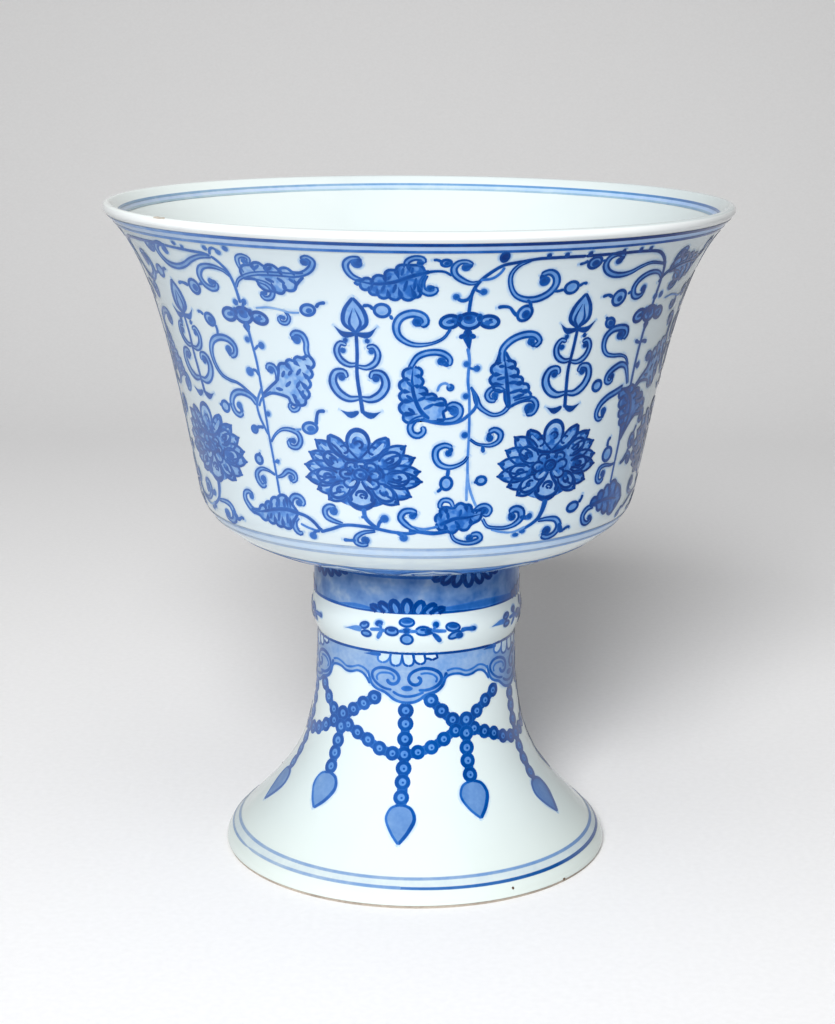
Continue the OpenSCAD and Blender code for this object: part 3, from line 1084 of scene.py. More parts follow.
leaf(
    "19.6 63.2, 21.6 64.2, 24.2 65 | 23.8 66.8, 22.2 68.8, 20.7 70.5, 20 72.6, 19 74.3 | 17.6 76.4",
    "19.6 63.2, 18.7 65, 18.2 67.2 | 15.6 68.8, 15.6 71.2, 15.9 73.8 | 16.6 76.4",
    "19.7 63.6, 19.1 67, 18.4 71, 17.6 75",
    "19.4 66.6, 22.4 67.4 | 19 69, 21 69.2 | 18.3 70.4, 16.4 70 | 17.8 73, 16.6 73 | 20.4 65.4, 23 66.2",
    ink=0.32,
)
scroll(
    "18.4 67.2, 17 68, 15.3 67.7, 14.6 66.4, 15.3 65.2, 16.7 65.1", (16.3, 66.3, 0.8),
    (0.4, 0.6, 0.65, 0.5),
)
scroll(
    "20.8 64.5, 23 64.9, 25.2 64.8, 26.2 63.3, 25.5 61.6, 23.9 61.5", (24.5, 62.8, 1.2),
    (0.5, 0.65, 0.7, 0.6),
)
leaf(
    "4.6 36.4 | 7 34.7, 10 35, 13 35.9 | 15 37, 15.6 39",
    "4.6 36.6 | 5.4 38.8, 6.6 40.2 | 8.8 40 | 11.4 40.6, 13 39.4 | 15.6 39.2",
    "5.4 36, 9 37.4, 12 37.6, 15 38.2", "7.4 37.2, 7.2 39 | 10 37.8, 10.4 39.6 | 9 36.8, 10 35.8", ink=0.44,
)
scroll(
    "13.6 38.6, 14.4 39.8, 16.2 40.2, 17.4 39.2, 16.8 38, 15.6 38.3", (16.1, 39, 0.7),
    (0.5, 0.65, 0.65, 0.5),
)
scroll("8.6 40, 7.6 41.7, 5.9 41.8, 5.3 40.4, 6.6 39.7", None, (0.4, 0.6, 0.6, 0.4))
vine.line("-2 34.6, 1 34.3, 4 34, 7.6 34.4", (0.42, 0.5, 0.42))
vine.line("-1.6 35.6, 1.6 35, 5 35.6", 0.3, 0.6)
tally(leaf_wash, leaf_line, leaf_rib)

# %% Leaves beside the tall places
leaf(
    "-34 92.4, -31 92.2 | -27.6 89.7, -25.2 90.3, -22.7 91.7 | -21 93.8",
    "-34 92.8 | -31 96.2, -28.3 96, -25.5 95.4, -22.8 94.9 | -20.8 94.9", "",
    "-31 94.8, -29.4 96.2 | -28.4 94.9, -26.8 95.9 | -29 92.8, -27.2 92 | -26.4 93.2, -25 91.8 | "
    "-24 93.2, -23 92.2", ink=0.3,
)
scroll(
    "-36.4 90, -35.4 91.7, -33 93.2, -30 94, -26 94.2, -22.5 94.2, -20.2 95.1, -18.9 96.6, "
    "-18.5 98.2, -19.4 99.2, -20.5 98.5", (-20, 97.8, 1.0), (0.35, 0.5, 0.55, 0.6, 0.75, 0.6),
)
scroll(
    "-33.6 93.8, -33.9 96, -33.5 97.8, -32.2 98.5, -31.1 97.8, -31.5 96.6", (-32.3, 97, 0.8),
    (0.4, 0.6, 0.6, 0.5),
)
scroll(
    "-31.2 92.2, -28.8 91.2, -28.1 89.6, -28.8 88.1, -30.3 87.8, -31 88.9", (-29.9, 89.1, 0.6),
    (0.4, 0.6, 0.65, 0.5),
)
leaf(
    "-11.4 93.2 | -10.5 92.5, -9 91.2, -7.4 90.1, -5.4 89.6, -3.1 89.6, -0.6 89.6, 0.4 90.8 | "
    "0.6 93, 1.2 95.6",
    "-11.4 93.5, -10 93.7 | -8.2 93.7, -5.9 94.8, -3.9 96.5, -1.8 97.8 | 0.4 97.6, 1.2 95.8",
    "2 96.1, -1.4 94.8, -4.4 93.3, -8 92.8, -11 93.4",
    "-8.2 92.6, -8.8 91 | -6 92.6, -6.8 90.6 | -4 92.8, -4.6 90.6 | -2 93.8, -2.6 91 | "
    "-0.4 94.4, -0.8 91.4 | -5.6 93.8, -4.8 95 | -3 95, -2.6 97 | -1.2 95.6, -1 97.2", ink=0.46,
)
scroll(
    "-10 93.4, -11.8 94.6, -12.6 96.4, -12.5 98, -11.4 99.3, -9.8 99.4", (-10.6, 98, 1.25),
    (0.6, 0.7, 0.75, 0.6),
)
scroll(
    "1.3 95.2, 0.6 93.2, 0.8 91.4, 2 90.6, 3.1 91.2, 2.9 92.2", (2.1, 91.8, 0.85),
    (0.55, 0.75, 0.8, 0.6),
)
scroll("-2.2 97, -1.9 98.8, -0.7 99.8, 0.7 99.5, 0.9 98.3", (0.3, 98.4, 0.8), (0.5, 0.7, 0.75, 0.6))
tally(leaf_wash, leaf_line, leaf_rib)

# %% [markdown]
# ## Stems to the left and right
# The stems aren't alike, so one quarter repeated all round would look printed. The middle
# stem stands at every quarter turn, and the stems to its left and right at every half turn,
# PAIR. A few small forms fit at four places that aren't quite even, SIDE.

# %% Left stem
PAIR, SIDE = dict(turns=HALVES), dict(turns=(0, 92.5, 180, 272.5))
vine.line("-36.6 86, -36.8 91, -37.3 93.8, -38.5 96, -39.8 97.5", 0.4, **PAIR)
bud(-58.9, 97.8, 1.9, 1.6, 0, "-57.4 98.6, -56 99.2, -54.6 99.4", 0.5, **PAIR)
vine.line("-40 97.6, -41.5 98.1, -44 98.3, -48 98.6, -52 98.9", (0.4, 0.34), **PAIR)
for x, y, r in (
    (-40.2, 99.7, 0.7), (-37.4, 98.9, 0.75), (-35.3, 100.1, 0.75), (-48.5, 100, 0.6), (-46.5, 99.2, 0.5),
):
    vine.dot(x, y, r, **PAIR)
vine.line("-39.8 98, -39.2 99.4, -38.2 100, -37.4 99.2", 0.36, **PAIR)
vine.line(
    "-36.3 81.5, -36 77, -35.6 72, -35.5 60, -35.4 55, -35.1 50, -34.8 45, -34.6 41",
    (0.32, 0.28, 0.3), 0.76, **PAIR,
)
vine.line("-35.5 66, -37 63.4, -37.6 61.5, -37.3 59, -36.4 56.8, -35.6 55", 0.3, 0.74, **PAIR)
for x, y, r in (
    (-33.6, 76.2, 0.85), (-37, 77.3, 0.7), (-38, 69.6, 1.1), (-34.8, 60, 0.6), (-34, 48.8, 0.55),
):
    vine.dot(x, y, r, **PAIR)
vine.line("-35.8 75, -35.2 75.4, -34.4 76.2", 0.32, **PAIR)
vine.line("-35.6 69, -36.2 70, -37.2 70.2", 0.36, **PAIR)
vine.line("-35 48.6, -34 48.8, -33.4 49.2", 0.3, **PAIR)
tally(vine)

# %% Curls and buds of the left stem
scroll(
    "-40 97.4, -43 97, -46 95.8, -49 94.1, -52 93.3, -55 93.9, -56.4 95.8, -56.2 97.8, -54.4 99.2, "
    "-52.4 98.8", (-53.2, 97.4, 1.1), (0.5, 0.6, 0.7, 0.8, 0.85, 0.7), **PAIR,
)
scroll(
    "-37 92.5, -38.5 94, -41.5 94.7, -44.2 93.9, -45.6 91.8, -45.2 89.9, -43.5 88.8, -41.8 89.2, "
    "-41.4 90.5", (-42.9, 90.5, 0.9), (0.35, 0.6, 0.8, 0.8, 0.6), **PAIR,
)
bud(-48.8, 88.6, 2.1, 2.0, 0, "-50.8 88.7, -52 89, -53.2 89.1, -54.3 88.7", 0.45, **PAIR)
vine.line("-46.8 89.4, -45.6 89.8", 0.36, **PAIR)
knot(-36.6, 83.1, "-36.5 81.4, -36.4 80.2, -36.2 78.6", **PAIR)
for x, y in ((-35.6, 86.4), (-37.8, 86.1)):
    vine.dot(x, y, 0.75, **SIDE)
vine.line("-36.4 84.4, -36 85.6, -35.6 86.4", 0.36, **PAIR)
vine.line("-33 85.2, -30 85.6, -27 85.2, -25.5 84.8, -23.3 84.9", (0.2, 0.26, 0.2), 0.4, **SIDE)
scroll(
    "-26.4 85, -25.7 83.6, -26.5 82.2, -27.9 82.4, -28 83.7", (-27, 83.4, 0.55),
    (0.25, 0.5, 0.55, 0.4), **SIDE,
)
bud(-21.4, 85.7, 1.9, 1.5, 15, "-19.6 86.4, -19 87.3, -17.6 87.7", 0.4, **SIDE)
scroll(
    "-37 63, -40.5 65.4, -42.5 66.4, -45 66.8, -47.4 67.8, -49 70.3, -49.2 73.3, -48 75.5, "
    "-45.5 76.8, -42.6 76.6, -41.1 75.1, -41.5 73.3, -43 72.6", (-43.2, 74.2, 1.0),
    (0.25, 0.3, 0.4, 0.6, 0.8, 0.8, 0.6), **PAIR,
)
bud(-47, 80.9, 1.9, 1.6, -25, "-48.8 81.8, -49.6 82.4, -50.6 82.3", 0.5, **PAIR)
vine.line("-45.6 79.8, -45.4 78.6, -45.6 77.4", 0.36, **PAIR)
scroll(
    "-37.6 62, -39 63.6, -42 64.3, -44.4 63.4, -45.6 61.3, -45.1 59.3, -43.6 58.6, -42.4 59.4",
    (-43.2, 60.9, 0.9), (0.6, 0.75, 0.75, 0.75, 0.6), **PAIR,
)
bud(-48.3, 60, 1.6, 1.5, 0, "-49.6 60.1, -50.4 60.2", 0, **PAIR)
vine.line("-46.8 60.6, -45.6 61", 0.34, **PAIR)
bud(-39.5, 55.8, 1.1, 1.0, 30, "-38.6 56.4, -37.6 56.6, -36.6 56.6", 0.6, **PAIR)
scroll(
    "-35 53.4, -33.5 55.3, -31.5 56.7, -29.4 56.9, -27.4 56.2, -26.9 54.5, -28 52.9, -29.8 53, "
    "-30.2 54.4", (-28.8, 54.3, 0.7), (0.25, 0.35, 0.6, 0.65, 0.5), **PAIR,
)
bud(-24.2, 57.8, 2.0, 1.5, 10, "-22.6 58.6, -22.4 60, -21.8 61.8, -20.2 62.1", 0.5, **PAIR)
vine.line("-28 57, -26.4 57.3", 0.26, 0.5, **PAIR)
bud(-39.6, 48.6, 1.35, 1.3, 90, "-39.2 49.8, -39 50.3", 0, **PAIR)
scroll(
    "-35.2 45.4, -37 46.2, -39.2 46.4, -41 45, -40.8 43.2, -39.6 42.2, -38.5 42.8", (-39.1, 44, 0.85),
    (0.25, 0.45, 0.7, 0.6), **PAIR,
)
scroll(
    "-34.5 45, -33 45.6, -31.2 46.9, -29.5 46.3, -29.4 45, -30.6 44.3", (-30.8, 45.4, 0.6),
    (0.3, 0.6, 0.6, 0.4), **SIDE,
)
tally(vine, curl_line, bud_line, knot_line)

# %% Leaves of the left stem
leaf(
    "-35.4 64, -33 65.1, -30.5 65, -28.6 64.4 | "
    "-26.2 63, -24.4 64.6, -23.9 67, -23.3 69.4, -22.6 71.8, -22 74.2 | -22.8 75",
    "-35.4 64.5, -33 66.6, -31 68.4, -30.2 70.8 | -28.2 72.6, -26.2 73.3, -24.2 74.2 | -22.8 75", "",
    "-29 67, -27.6 68.4 | -28 69.8, -26.8 71.2 | -26.4 67, -25.4 68.6 | -26 70, -24.8 71.6 | "
    "-25.4 65.2, -24.8 66.6 | -29.6 69.2, -28.8 70.8 | -31.6 66.4, -29.8 66.2 | "
    "-27.6 65.4, -26.6 64.6", ink=0.26, **SIDE,
)
scroll(
    "-22.7 74.4, -23 76, -22.8 78, -23.5 79.7, -25 80, -26 78.9", (-24.8, 78.4, 1.0),
    (0.6, 0.65, 0.75, 0.6), **SIDE,
)
vine.line("-37 61.6, -36 63.4, -34.8 64.4, -33 65.4", 0.3, **PAIR)
scroll(
    "-31 68.2, -30.8 70.2, -31.4 71.6, -32.7 71.7, -33.2 70.5", (-32.2, 70.5, 0.75),
    (0.4, 0.6, 0.6, 0.45), **SIDE,
)
scroll("-26 63.5, -26.7 62.1, -28 61.6, -28.7 62.5, -28 63.4", None, (0.4, 0.55, 0.55, 0.4), **PAIR)
leaf(
    "-45 35.2, -42 34.6 | -39.4 34, -37 33.6, -34.6 33.1, -32.2 33.2 | -31.2 34.8, -29.8 36.9",
    "-45 35.8, -42 36.2 | -39.8 37.4, -37.8 38.6, -35.4 39.9, -32.8 40.5 | -31.4 39, -29.8 37",
    "-29.6 36.9, -33 37.4, -37 36.9, -41 35.8, -44 35.4",
    "-38.6 36.6, -38.4 37.8 | -36 37.2, -35.8 39 | -33.6 37.6, -33.6 39.8 | -38 35.8, -38.6 34.4"
    " | -35.4 36.4, -36 34.2 | -33 36.4, -33.2 34", 0.2, 0.36, **PAIR,
)
scroll(
    "-43.6 35.2, -45.4 36.2, -46.8 38, -46.4 39.5, -45 40, -43.6 39.4", (-44.2, 39, 0.8),
    (0.75, 0.75, 0.65, 0.45), **PAIR,
)
scroll(
    "-31.4 38, -31.3 40, -30.2 41, -28.7 40.8, -27.9 39.7, -28.5 38.8", (-29.3, 39.4, 0.75),
    (0.5, 0.7, 0.7, 0.5), **PAIR,
)
scroll("-29.8 35.8, -31 34.8, -31.1 33.2, -30.2 31.9, -29.1 32.3", None, (0.4, 0.75, 0.75, 0.5), **PAIR)
vine.line("-30.4 37, -27.6 36.4, -25.6 35.2, -24.2 33.8, -23.4 33.3", 0.4, 0.84, **PAIR)
vine.line("-29.4 34.4, -27.4 33.7, -25.2 33.2", 0.28, 0.6, **PAIR)
tally(leaf_wash, leaf_line, leaf_rib)

# %% Right stem
vine.line("54.8 85.5, 54.6 82, 54.6 70, 55.2 60, 55.2 50, 55 41", (0.4, 0.36), 0.76, **PAIR)
scroll(
    "52.6 94.7, 50 95.3, 47.5 95.6, 45 94.8, 43 93.7, 40.5 93.2, 38 93.6, 36.2 94.8, 35.3 96.6, "
    "35.7 98.4, 37.4 99.2, 39 98.3", (38.2, 97.2, 1.0), (0.3, 0.4, 0.6, 0.75, 0.8, 0.7), **PAIR,
)
bud(32.6, 97.2, 1.9, 1.8, 0, "31 97.8, 30.2 97.2, 29.4 97", 0.5, **PAIR)
vine.line("34.2 97.6, 35.2 97.4", 0.36, **PAIR)
scroll(
    "53.8 91, 52.4 92.3, 50 92.9, 47.8 92.4, 46.1 90.9, 45.7 89, 46.6 87.3, 48.2 86.9, 49.6 87.6",
    (48.9, 88.8, 0.95), (0.35, 0.6, 0.8, 0.8, 0.6), **PAIR,
)
bud(42.2, 87.3, 2.2, 2.1, 0, "40.2 87.7, 39 88.3, 37.6 88", 0.35, **PAIR)
vine.line("44.4 88, 45.6 88.7", 0.4, **PAIR)
knot(54.6, 82.1, "54.6 80.4, 54.6 79, 54.7 77.6", **PAIR)
vine.line("54.4 75, 53.2 75.3, 52.2 75.8", (0.3, 0.55), **PAIR)
vine.line("54.6 75.2, 56 75.2, 57.2 74.8", (0.3, 0.6), **PAIR)
vine.dot(55.9, 69.4, 0.8, **PAIR)
scroll(
    "51.6 70, 50 72, 48 72.8, 45 73.1, 42.9 73.8, 41.6 75.6, 41.6 77.9, 43.1 79.4, 45.5 79.7, "
    "47.5 79.2, 48 77.8, 47.2 76.8", (46, 77.9, 1.15), (0.3, 0.4, 0.5, 0.8, 0.85, 0.7), **PAIR,
)
bud(41.8, 81.3, 1.7, 1.3, -25, "40.8 82.1, 40.2 82.8", 0.5, **PAIR)
scroll(
    "53.2 65.4, 52 68, 50.8 69.8, 48.8 70.5, 46.4 69.7, 44.9 68.4, 44.8 67.1, 46 66.6, 47 67.4",
    (46.4, 68, 0.8), (0.4, 0.6, 0.8, 0.8, 0.5), **PAIR,
)
bud(42.1, 66.3, 1.6, 1.5, 0, None, 0, **PAIR)
scroll(
    "51.6 64.6, 49 63.8, 46.3 62.9, 44.2 61.2, 43.7 59.2, 44.6 58, 46 58.1", (46, 59.8, 0.9),
    (0.8, 0.8, 0.8, 0.7, 0.5), **PAIR,
)
tally(vine, curl_line, bud_line, knot_line)

# %% Leaves of the right stem
leaf(
    "51 64 | 51.8 61.8, 52.6 59.4, 53.4 57, 54.4 55 | 55.2 51.2",
    "51 64.2, 54 64.2 | 57.4 63, 60.6 61.8, 63 60.2, 64.8 58 | "
    "63.4 56.6, 60.6 56.6, 58.2 54.8, 56.6 53, 55.2 51.2",
    "52.6 64.2, 56 61.6, 57.4 58, 56.6 54.6, 55.4 51.8",
    "53.4 62, 54.8 60.8 | 54 58.8, 55.6 58 | 58.2 62.8, 60.4 61.4 | 59 60.4, 62 59.6 | "
    "61.4 62.2, 63 60.8", ink=0.44, **PAIR,
)
scroll(
    "62 58.6, 64.2 57.6, 65.8 56.4, 65.8 55, 64.4 54.6, 63.6 55.6", (64.6, 55.8, 0.7),
    (0.4, 0.65, 0.65, 0.45), **PAIR,
)
bud(62, 50.2, 1.7, 2.0, 0, "62.6 52, 62.9 53, 63.5 53.6", 0.4, **PAIR)
vine.line("61.4 48.4, 60.8 47.6", 0.36, **PAIR)
bud(50.8, 48.7, 1.9, 1.9, 0, "50.3 50.6, 50.2 52, 51 52.8", 0, **PAIR)
scroll(
    "55 45.8, 53 45.7, 51 46, 49 45.6, 48.3 44, 48.7 42.6, 49.9 42.2, 51 43", (50.5, 44, 0.85),
    (0.25, 0.45, 0.7, 0.6), **PAIR,
)
leaf(
    "47.6 36.6, 50.4 36.2 | 53 35, 56 34, 60 33.8 | 63 36",
    "47.6 36.8 | 50 38.4, 52.6 39.4, 55 40.4, 58.6 40.2 | 61 39, 63 36",
    "48 36.6, 54 37.2, 60 36.4", "52 37.2, 52.6 38.6 | 55 37.4, 56 39 | 55 36.4, 56.6 35", ink=0.44, **PAIR,
)
scroll(
    "49 36.4, 46.6 36, 45.3 34.5, 46 32.9, 47.8 32.3, 49.3 33.2", (48.2, 33.6, 0.75),
    (0.6, 0.75, 0.7, 0.5), **PAIR,
)
tally(vine, curl_line, bud_line, knot_line, leaf_line)

# %% [markdown]
# ## Blooms
# Under each tall place sits a full bloom seen from the side: a ring of pointed petals, a
# second ring of round ones with a curl in each, an arched petal on top and a cup below.
# One recipe is drawn twice in each quarter, because the real ones repeat closely.

# %% Petals of a bloom
bloom_wash = wash("bloom_wash", finish=cobalt_fleck)
bloom_line = lines("bloom_lines", ink=0.92)
bloom_light = wash("bloom_lights", level=4, ink=0.36)
TIPS = (
    (-10, 8), (-11.8, 5), (-13.2, 2), (-13.2, -1), (-10.6, -3.6), (-8, -5.8),
    (10.2, 7.6), (12.2, 4.9), (13.4, 1.7), (13.8, -0.7), (11.4, -4.2), (8.6, -6),
)
ROUND = (
    (-6, 3.6, 150), (6.8, 4.2, 30), (-7.8, -0.2, 178), (8.4, 0, 2), (-5, -3.2, 215),
    (5.2, -3.4, -35),
)
SMALL = (
    (-3.4, 0.6, 150), (3.3, 0.6, 30), (-2, 2.4, 115), (0.2, 2.7, 90), (2.4, 2.4, 65),
    (-2.6, -1.5, 205), (2.8, -1.6, -30),
)


def petal(x, y, tip, half):
    """A pointed petal from the ring of a bloom at x, y out to its tip."""
    k = bowl_sheet.width(y)
    far = np.array(tip) * (k, 1)
    near = far * 0.5
    way = far - near
    side = np.array((-way[1], way[0])) / np.hypot(*way) * half

    def at(*places):
        return np.array([near + way * up + side * out for up, out in places]) / (k, 1) + (x, y)

    edges = [at((0, s * 0.8), (0.4, s), (0.78, s * 0.62), (1, 0)) for s in (-1, 1)]
    bloom_wash.fill(*edges, ink=(0.44, 0.34, 0.44))
    for edge in edges:
        bloom_line.line(edge, 0.3)
    bloom_light.line(at((0.3, 0), (0.56, 0), (0.82, 0)), (0.15, 0.42, 0.15))
    bloom_line.line(at((0.8, 0), (1.08, 0)), (0.52, 0.46, 0.18))


def shell(x, y, lean):
    """A round petal, open at its root, with a pale bow inside and a dark hook."""
    bloom_wash.dot(x, y, 2.7, 1.9, lean, 0.42)
    bloom_line.line(bow(x, y, 2.6, 1.8, -150, 150, lean), (0.24, 0.34, 0.38, 0.34, 0.24))
    bloom_light.line(bow(x, y, 1.75, 1.1, -110, 95, lean), (0.15, 0.36, 0.3, 0.15))
    bloom_line.line(bow(x, y, 0.85, 0.5, -200, 80, lean), (0.2, 0.42, 0.34))


print("a bloom has", len(TIPS), "pointed petals and", len(ROUND), "round ones")


# %% Blooms
def ruff(x, y):
    """Two pointed petals that join under the crown like a collar, with a hook in each."""
    for s in (-1, 1):
        outer = np.array([(6.6, 9.6), (6.7, 7.6), (5.5, 5.6), (3, 4.2), (0, 3.7)]) * (s, 1) + (x, y)
        inner = np.array([(6.6, 9.6), (4.3, 8.8), (3.1, 7.6), (1.7, 5.8), (0, 4.1)]) * (s, 1) + (x, y)
        bloom_wash.fill(outer, inner, (0.5, 0.38, 0.42))
        bloom_line.line(outer, (0.5, 0.5, 0.4))
        bloom_line.line(inner, (0.4, 0.26, 0.26))
        bloom_light.line((outer + inner)[1:4] / 2 + (s * 0.3, 0), (0.2, 0.6, 0.25))
        bloom_line.line(bow(x + s * 3.3, y + 6.4, 1.0, 0.9, 90 - s * 60, 90 + s * 190), (0.2, 0.3, 0.3))


def crown(x, y):
    """The arched petal on top."""
    bloom_wash.dot(x, y, 2.6, 2.9, 0, 0.42)
    bloom_line.line(bow(x, y - 0.2, 2.5, 2.95, -30, 210), (0.26, 0.42, 0.54, 0.42, 0.26))
    bloom_light.line(bow(x, y - 0.3, 1.65, 2.0, -5, 185), (0.2, 0.48, 0.42, 0.2), 0.28)
    bloom_line.line(bow(x + 0.1, y - 0.7, 0.95, 0.8, 165, -90), (0.24, 0.34, 0.26))


def cup(x, y):
    """The pointed cup below, with a dark hook in it and a heavy foot."""
    bloom_wash.dot(x, y, 3.7, 2.6, 0, 0.5)
    right = np.array([(0, -2), (2.4, -1), (2.6, 0.4), (1.2, 2.2), (0.2, 3.9)]) + (x, y)
    left = right * (-1, 1) + (2 * x, 0)
    bloom_light.fill(right, left, 0.28)
    for edge in (right, left):
        bloom_line.line(edge[1:], (0.5, 0.42, 0.3))
    bloom_line.line(bow(x, y + 0.1, 3.2, 2.7, 185, 355), (0.4, 0.55, 0.75, 0.55, 0.4))
    bloom_line.line(bow(x, y + 0.5, 1.2, 0.95, 200, -60), (0.3, 0.44, 0.34))
    bloom_line.line(bow(x + 0.2, y + 0.3, 0.5, 0.4, 0, 300), 0.26)


def bloom(x, y):
    """A whole bloom round its middle, from the wash behind it to the cup in front."""
    bloom_wash.dot(x, y + 0.6, 9.6, 8, ink=0.5)
    for tip in TIPS:
        petal(x, y, tip, 1.95)
    for dx, dy, lean in ROUND:
        shell(x + dx, y + dy, lean)
    for dx, dy, way in SMALL:
        bloom_line.line(bow(x + dx, y + dy, 1.4, 1.1, way - 125, way + 125), 0.3)
        bloom_light.line(bow(x + dx, y + dy, 0.75, 0.5, way - 80, way + 80), (0.12, 0.26, 0.12), 0.42)
    crown(x - 0.2, y + 8.4)
    ruff(x - 0.2, y)
    bloom_wash.dot(x, y + 0.6, 1.6, 1.4, 0, 0.5)
    bloom_line.hoop(x, y + 0.6, 1.4, 1.2, 0, 0.34)
    bloom_line.dot(x + 0.1, y + 0.5, 0.65, 0.55)
    for s, wide in ((-1, 0.5), (1, 0.34)):
        ray = [(x + s * 1.2, y - 0.9), (x + s * 2.2, y - 1.9), (x + s * 3.1, y - 3.2)]
        bloom_light.line(ray, (0.2, wide, 0.2), 0.3)
    cup(x, y - 4.8)


bloom(-13, 47)
bloom(32, 48)
tally(bloom_wash, bloom_line, bloom_light)

# %% Stalks and tendrils under the blooms
vine.line("-12.6 39.6, -12.3 37.4, -11 36, -9.5 34.9", (0.55, 0.42))
vine.line("-24 33, -21 34, -17.5 35.2, -14 35.3, -9.5 34.8, -6 34.2, -2 33.9, 0 34.2", 0.38, 0.8)
vine.line("-24.2 33.2, -25.4 33, -26.3 31.8", 0.4)
vine.dot(-26.3, 31.7, 0.95)
vine.line("-9.4 35, -8.9 36.4, -7.9 37.3", (0.4, 0.45))
vine.dot(-7.7, 37.3, 0.95)
vine.line("-5 34.2, -3.8 33.6, -3.2 32.8", 0.5)
vine.dot(-3.2, 32.8, 0.95)
vine.line("-13.3 37.4, -12.4 37.6, -11.8 37.4", 0.4)
scroll(
    "-18 35.5, -20.5 36.1, -22.1 37, -22.3 38.6, -21 39.5, -19.5 39.2", (-20.1, 38.4, 1.0),
    (0.35, 0.6, 0.7, 0.6),
)
scroll(
    "-10 34.2, -13 33.7, -14.8 32.4, -14.9 31, -13.5 30.4, -12 30.9", (-12.6, 31.8, 1.0),
    (0.3, 0.5, 0.7, 0.6),
)
vine.line("-15 31.6, -16.4 31.5, -18.2 31.5", (0.5, 0.35, 0.55))
scroll(
    "0.4 34.4, -2.4 35.9, -3.9 37.7, -3.1 39.1, -1.4 39.4, 0 38.8", (-1, 38.2, 0.85),
    (0.35, 0.7, 0.75, 0.6),
)
vine.line("32 40.4, 31.5 38, 30.5 36, 29 34.9, 26.5 33.7", (0.75, 0.55, 0.42, 0.36))
scroll(
    "30.6 35.4, 33.4 35.5, 36 35, 37.2 33.4, 36.4 31.4, 34.2 30.7, 32.4 31.5", (33.6, 32.5, 1.2),
    (0.35, 0.6, 0.85, 0.85, 0.7),
)
vine.line("37.2 34, 37.8 32.6, 38.6 31.8, 39.6 32.2, 40.6 32.6, 41.2 32.2", (0.5, 0.8, 0.35, 0.4))
bud(41, 37.4, 1.9, 1.35, 10, "42.9 38.2, 43.7 39, 43.9 39.9", 0, turns=(0, 90, 180))
vine.line("25.4 36.8, 26.8 36.5, 28 36.6", (0.5, 0.6))
vine.dot(27.9, 36.7, 0.8)
tally(vine, curl_line, bud_line)

# %% [markdown]
# ## Tall places between the stems
# Eight upright places stand between the stems, one over each bloom. Each holds a plain
# sprig: a closed bud on a tall stalk with two pairs of curling leaves. The right half of a
# stroke is written down and the left half is its mirror image.

# %% Bud sprigs
sprig_wash = wash("sprig_wash", ink=0.36)
sprig_line = lines("sprig_lines", ink=0.9, bleed=bowl_bleed)


def sprig(x):
    """A closed bud on a tall stalk, with a mirrored stroke on either side for each leaf."""

    def at(text, s=1, up=0):
        return marks(text) * (s, 1) + (x, up)

    sprig_line.line(at("0.5 62, 0.1 66, -0.3 71, 0 76, 0.1 81.4"), (0.5, 0.4, 0.38))
    edges = [at("0 81, 2.2 83, 1.9 86, 0 89.2", s) for s in (1, -1)]
    sprig_wash.fill(*edges)
    for edge in edges:
        sprig_line.line(edge, (0.4, 0.5, 0.35))
    for text, half in (
        ("0.2 81.2, 1.1 83, 0.2 86.6", (0.35, 0.32, 0.25)),
        ("0 80.6, 2.4 80.4, 4.2 82.2", (0.4, 0.8, 0.35)),
    ):
        for s in (1, -1):
            sprig_line.line(at(text, s), half, ends="rt")
    for s in (-1, 1):
        lower = at("0.2 65.6, 2.4 65.4, 4.6 66.8, 5.6 69.2, 4.8 71.4, 3 71.6, 2.5 70.2", s)
        upper = at("0 73, 1.8 72.8, 3.6 74, 4.2 76.2, 3.3 77.8, 2 77.4", s, 0 if s > 0 else 0.5)
        cored(sprig_wash, sprig_line, lower, (0.5, 0.95, 1.0, 0.8, 0.5))
        cored(sprig_wash, sprig_line, upper, (0.4, 0.75, 0.7, 0.5))
        sprig_line.dot(x + s * 3.6, 70.3, 0.8)
        sprig_line.dot(x + s * 2.9, 76.6, 0.65)
        sprig_line.line(at("0.4 62.4, 2.2 61.6, 4.4 62.6", s), (0.4, 0.85, 0.3), ends="rt")
        sprig_line.dot(x + s * 2.2, 79, 0.55)


sprig(-12.2)
sprig(33.2)
tally(sprig_wash, sprig_line)

# %% [markdown]
# ## Under the bowl and round the neck
# Below the heel a border of petals opens outwards from the stem. The neck carries a broad
# streaky wash, darker where it pooled on the raised ring, with half flowers along both edges.

# %% Petal border under the bowl
TWELFTHS = tuple(30 * i for i in range(12))
under_wash = wash("underside_wash", ink=0.54, turns=TWELFTHS)
under_wash.band(2.0, 19.2)
under_light = wash("underside_petals", level=4, ink=0.08, turns=TWELFTHS)
under_line = lines("underside_lines", ink=0.8, turns=TWELFTHS)
under_line.band(18.9, 19.4, 0.5)
under_x = 5
for brush, low, high, wide in ((under_light, 4, 18.8, 12), (under_wash, 7, 16, 6)):
    right = np.array([(0, low), (0.9 * wide, low + 4), (wide, low + 8), (0.6 * wide, high - 2), (0, high)])
    right = right + (under_x, 0)
    left = right * (-1, 1) + (2 * under_x, 0)
    brush.fill(right, left)
    for edge in (right, left):
        under_line.line(edge, 0.34)
tally(under_wash, under_light, under_line)

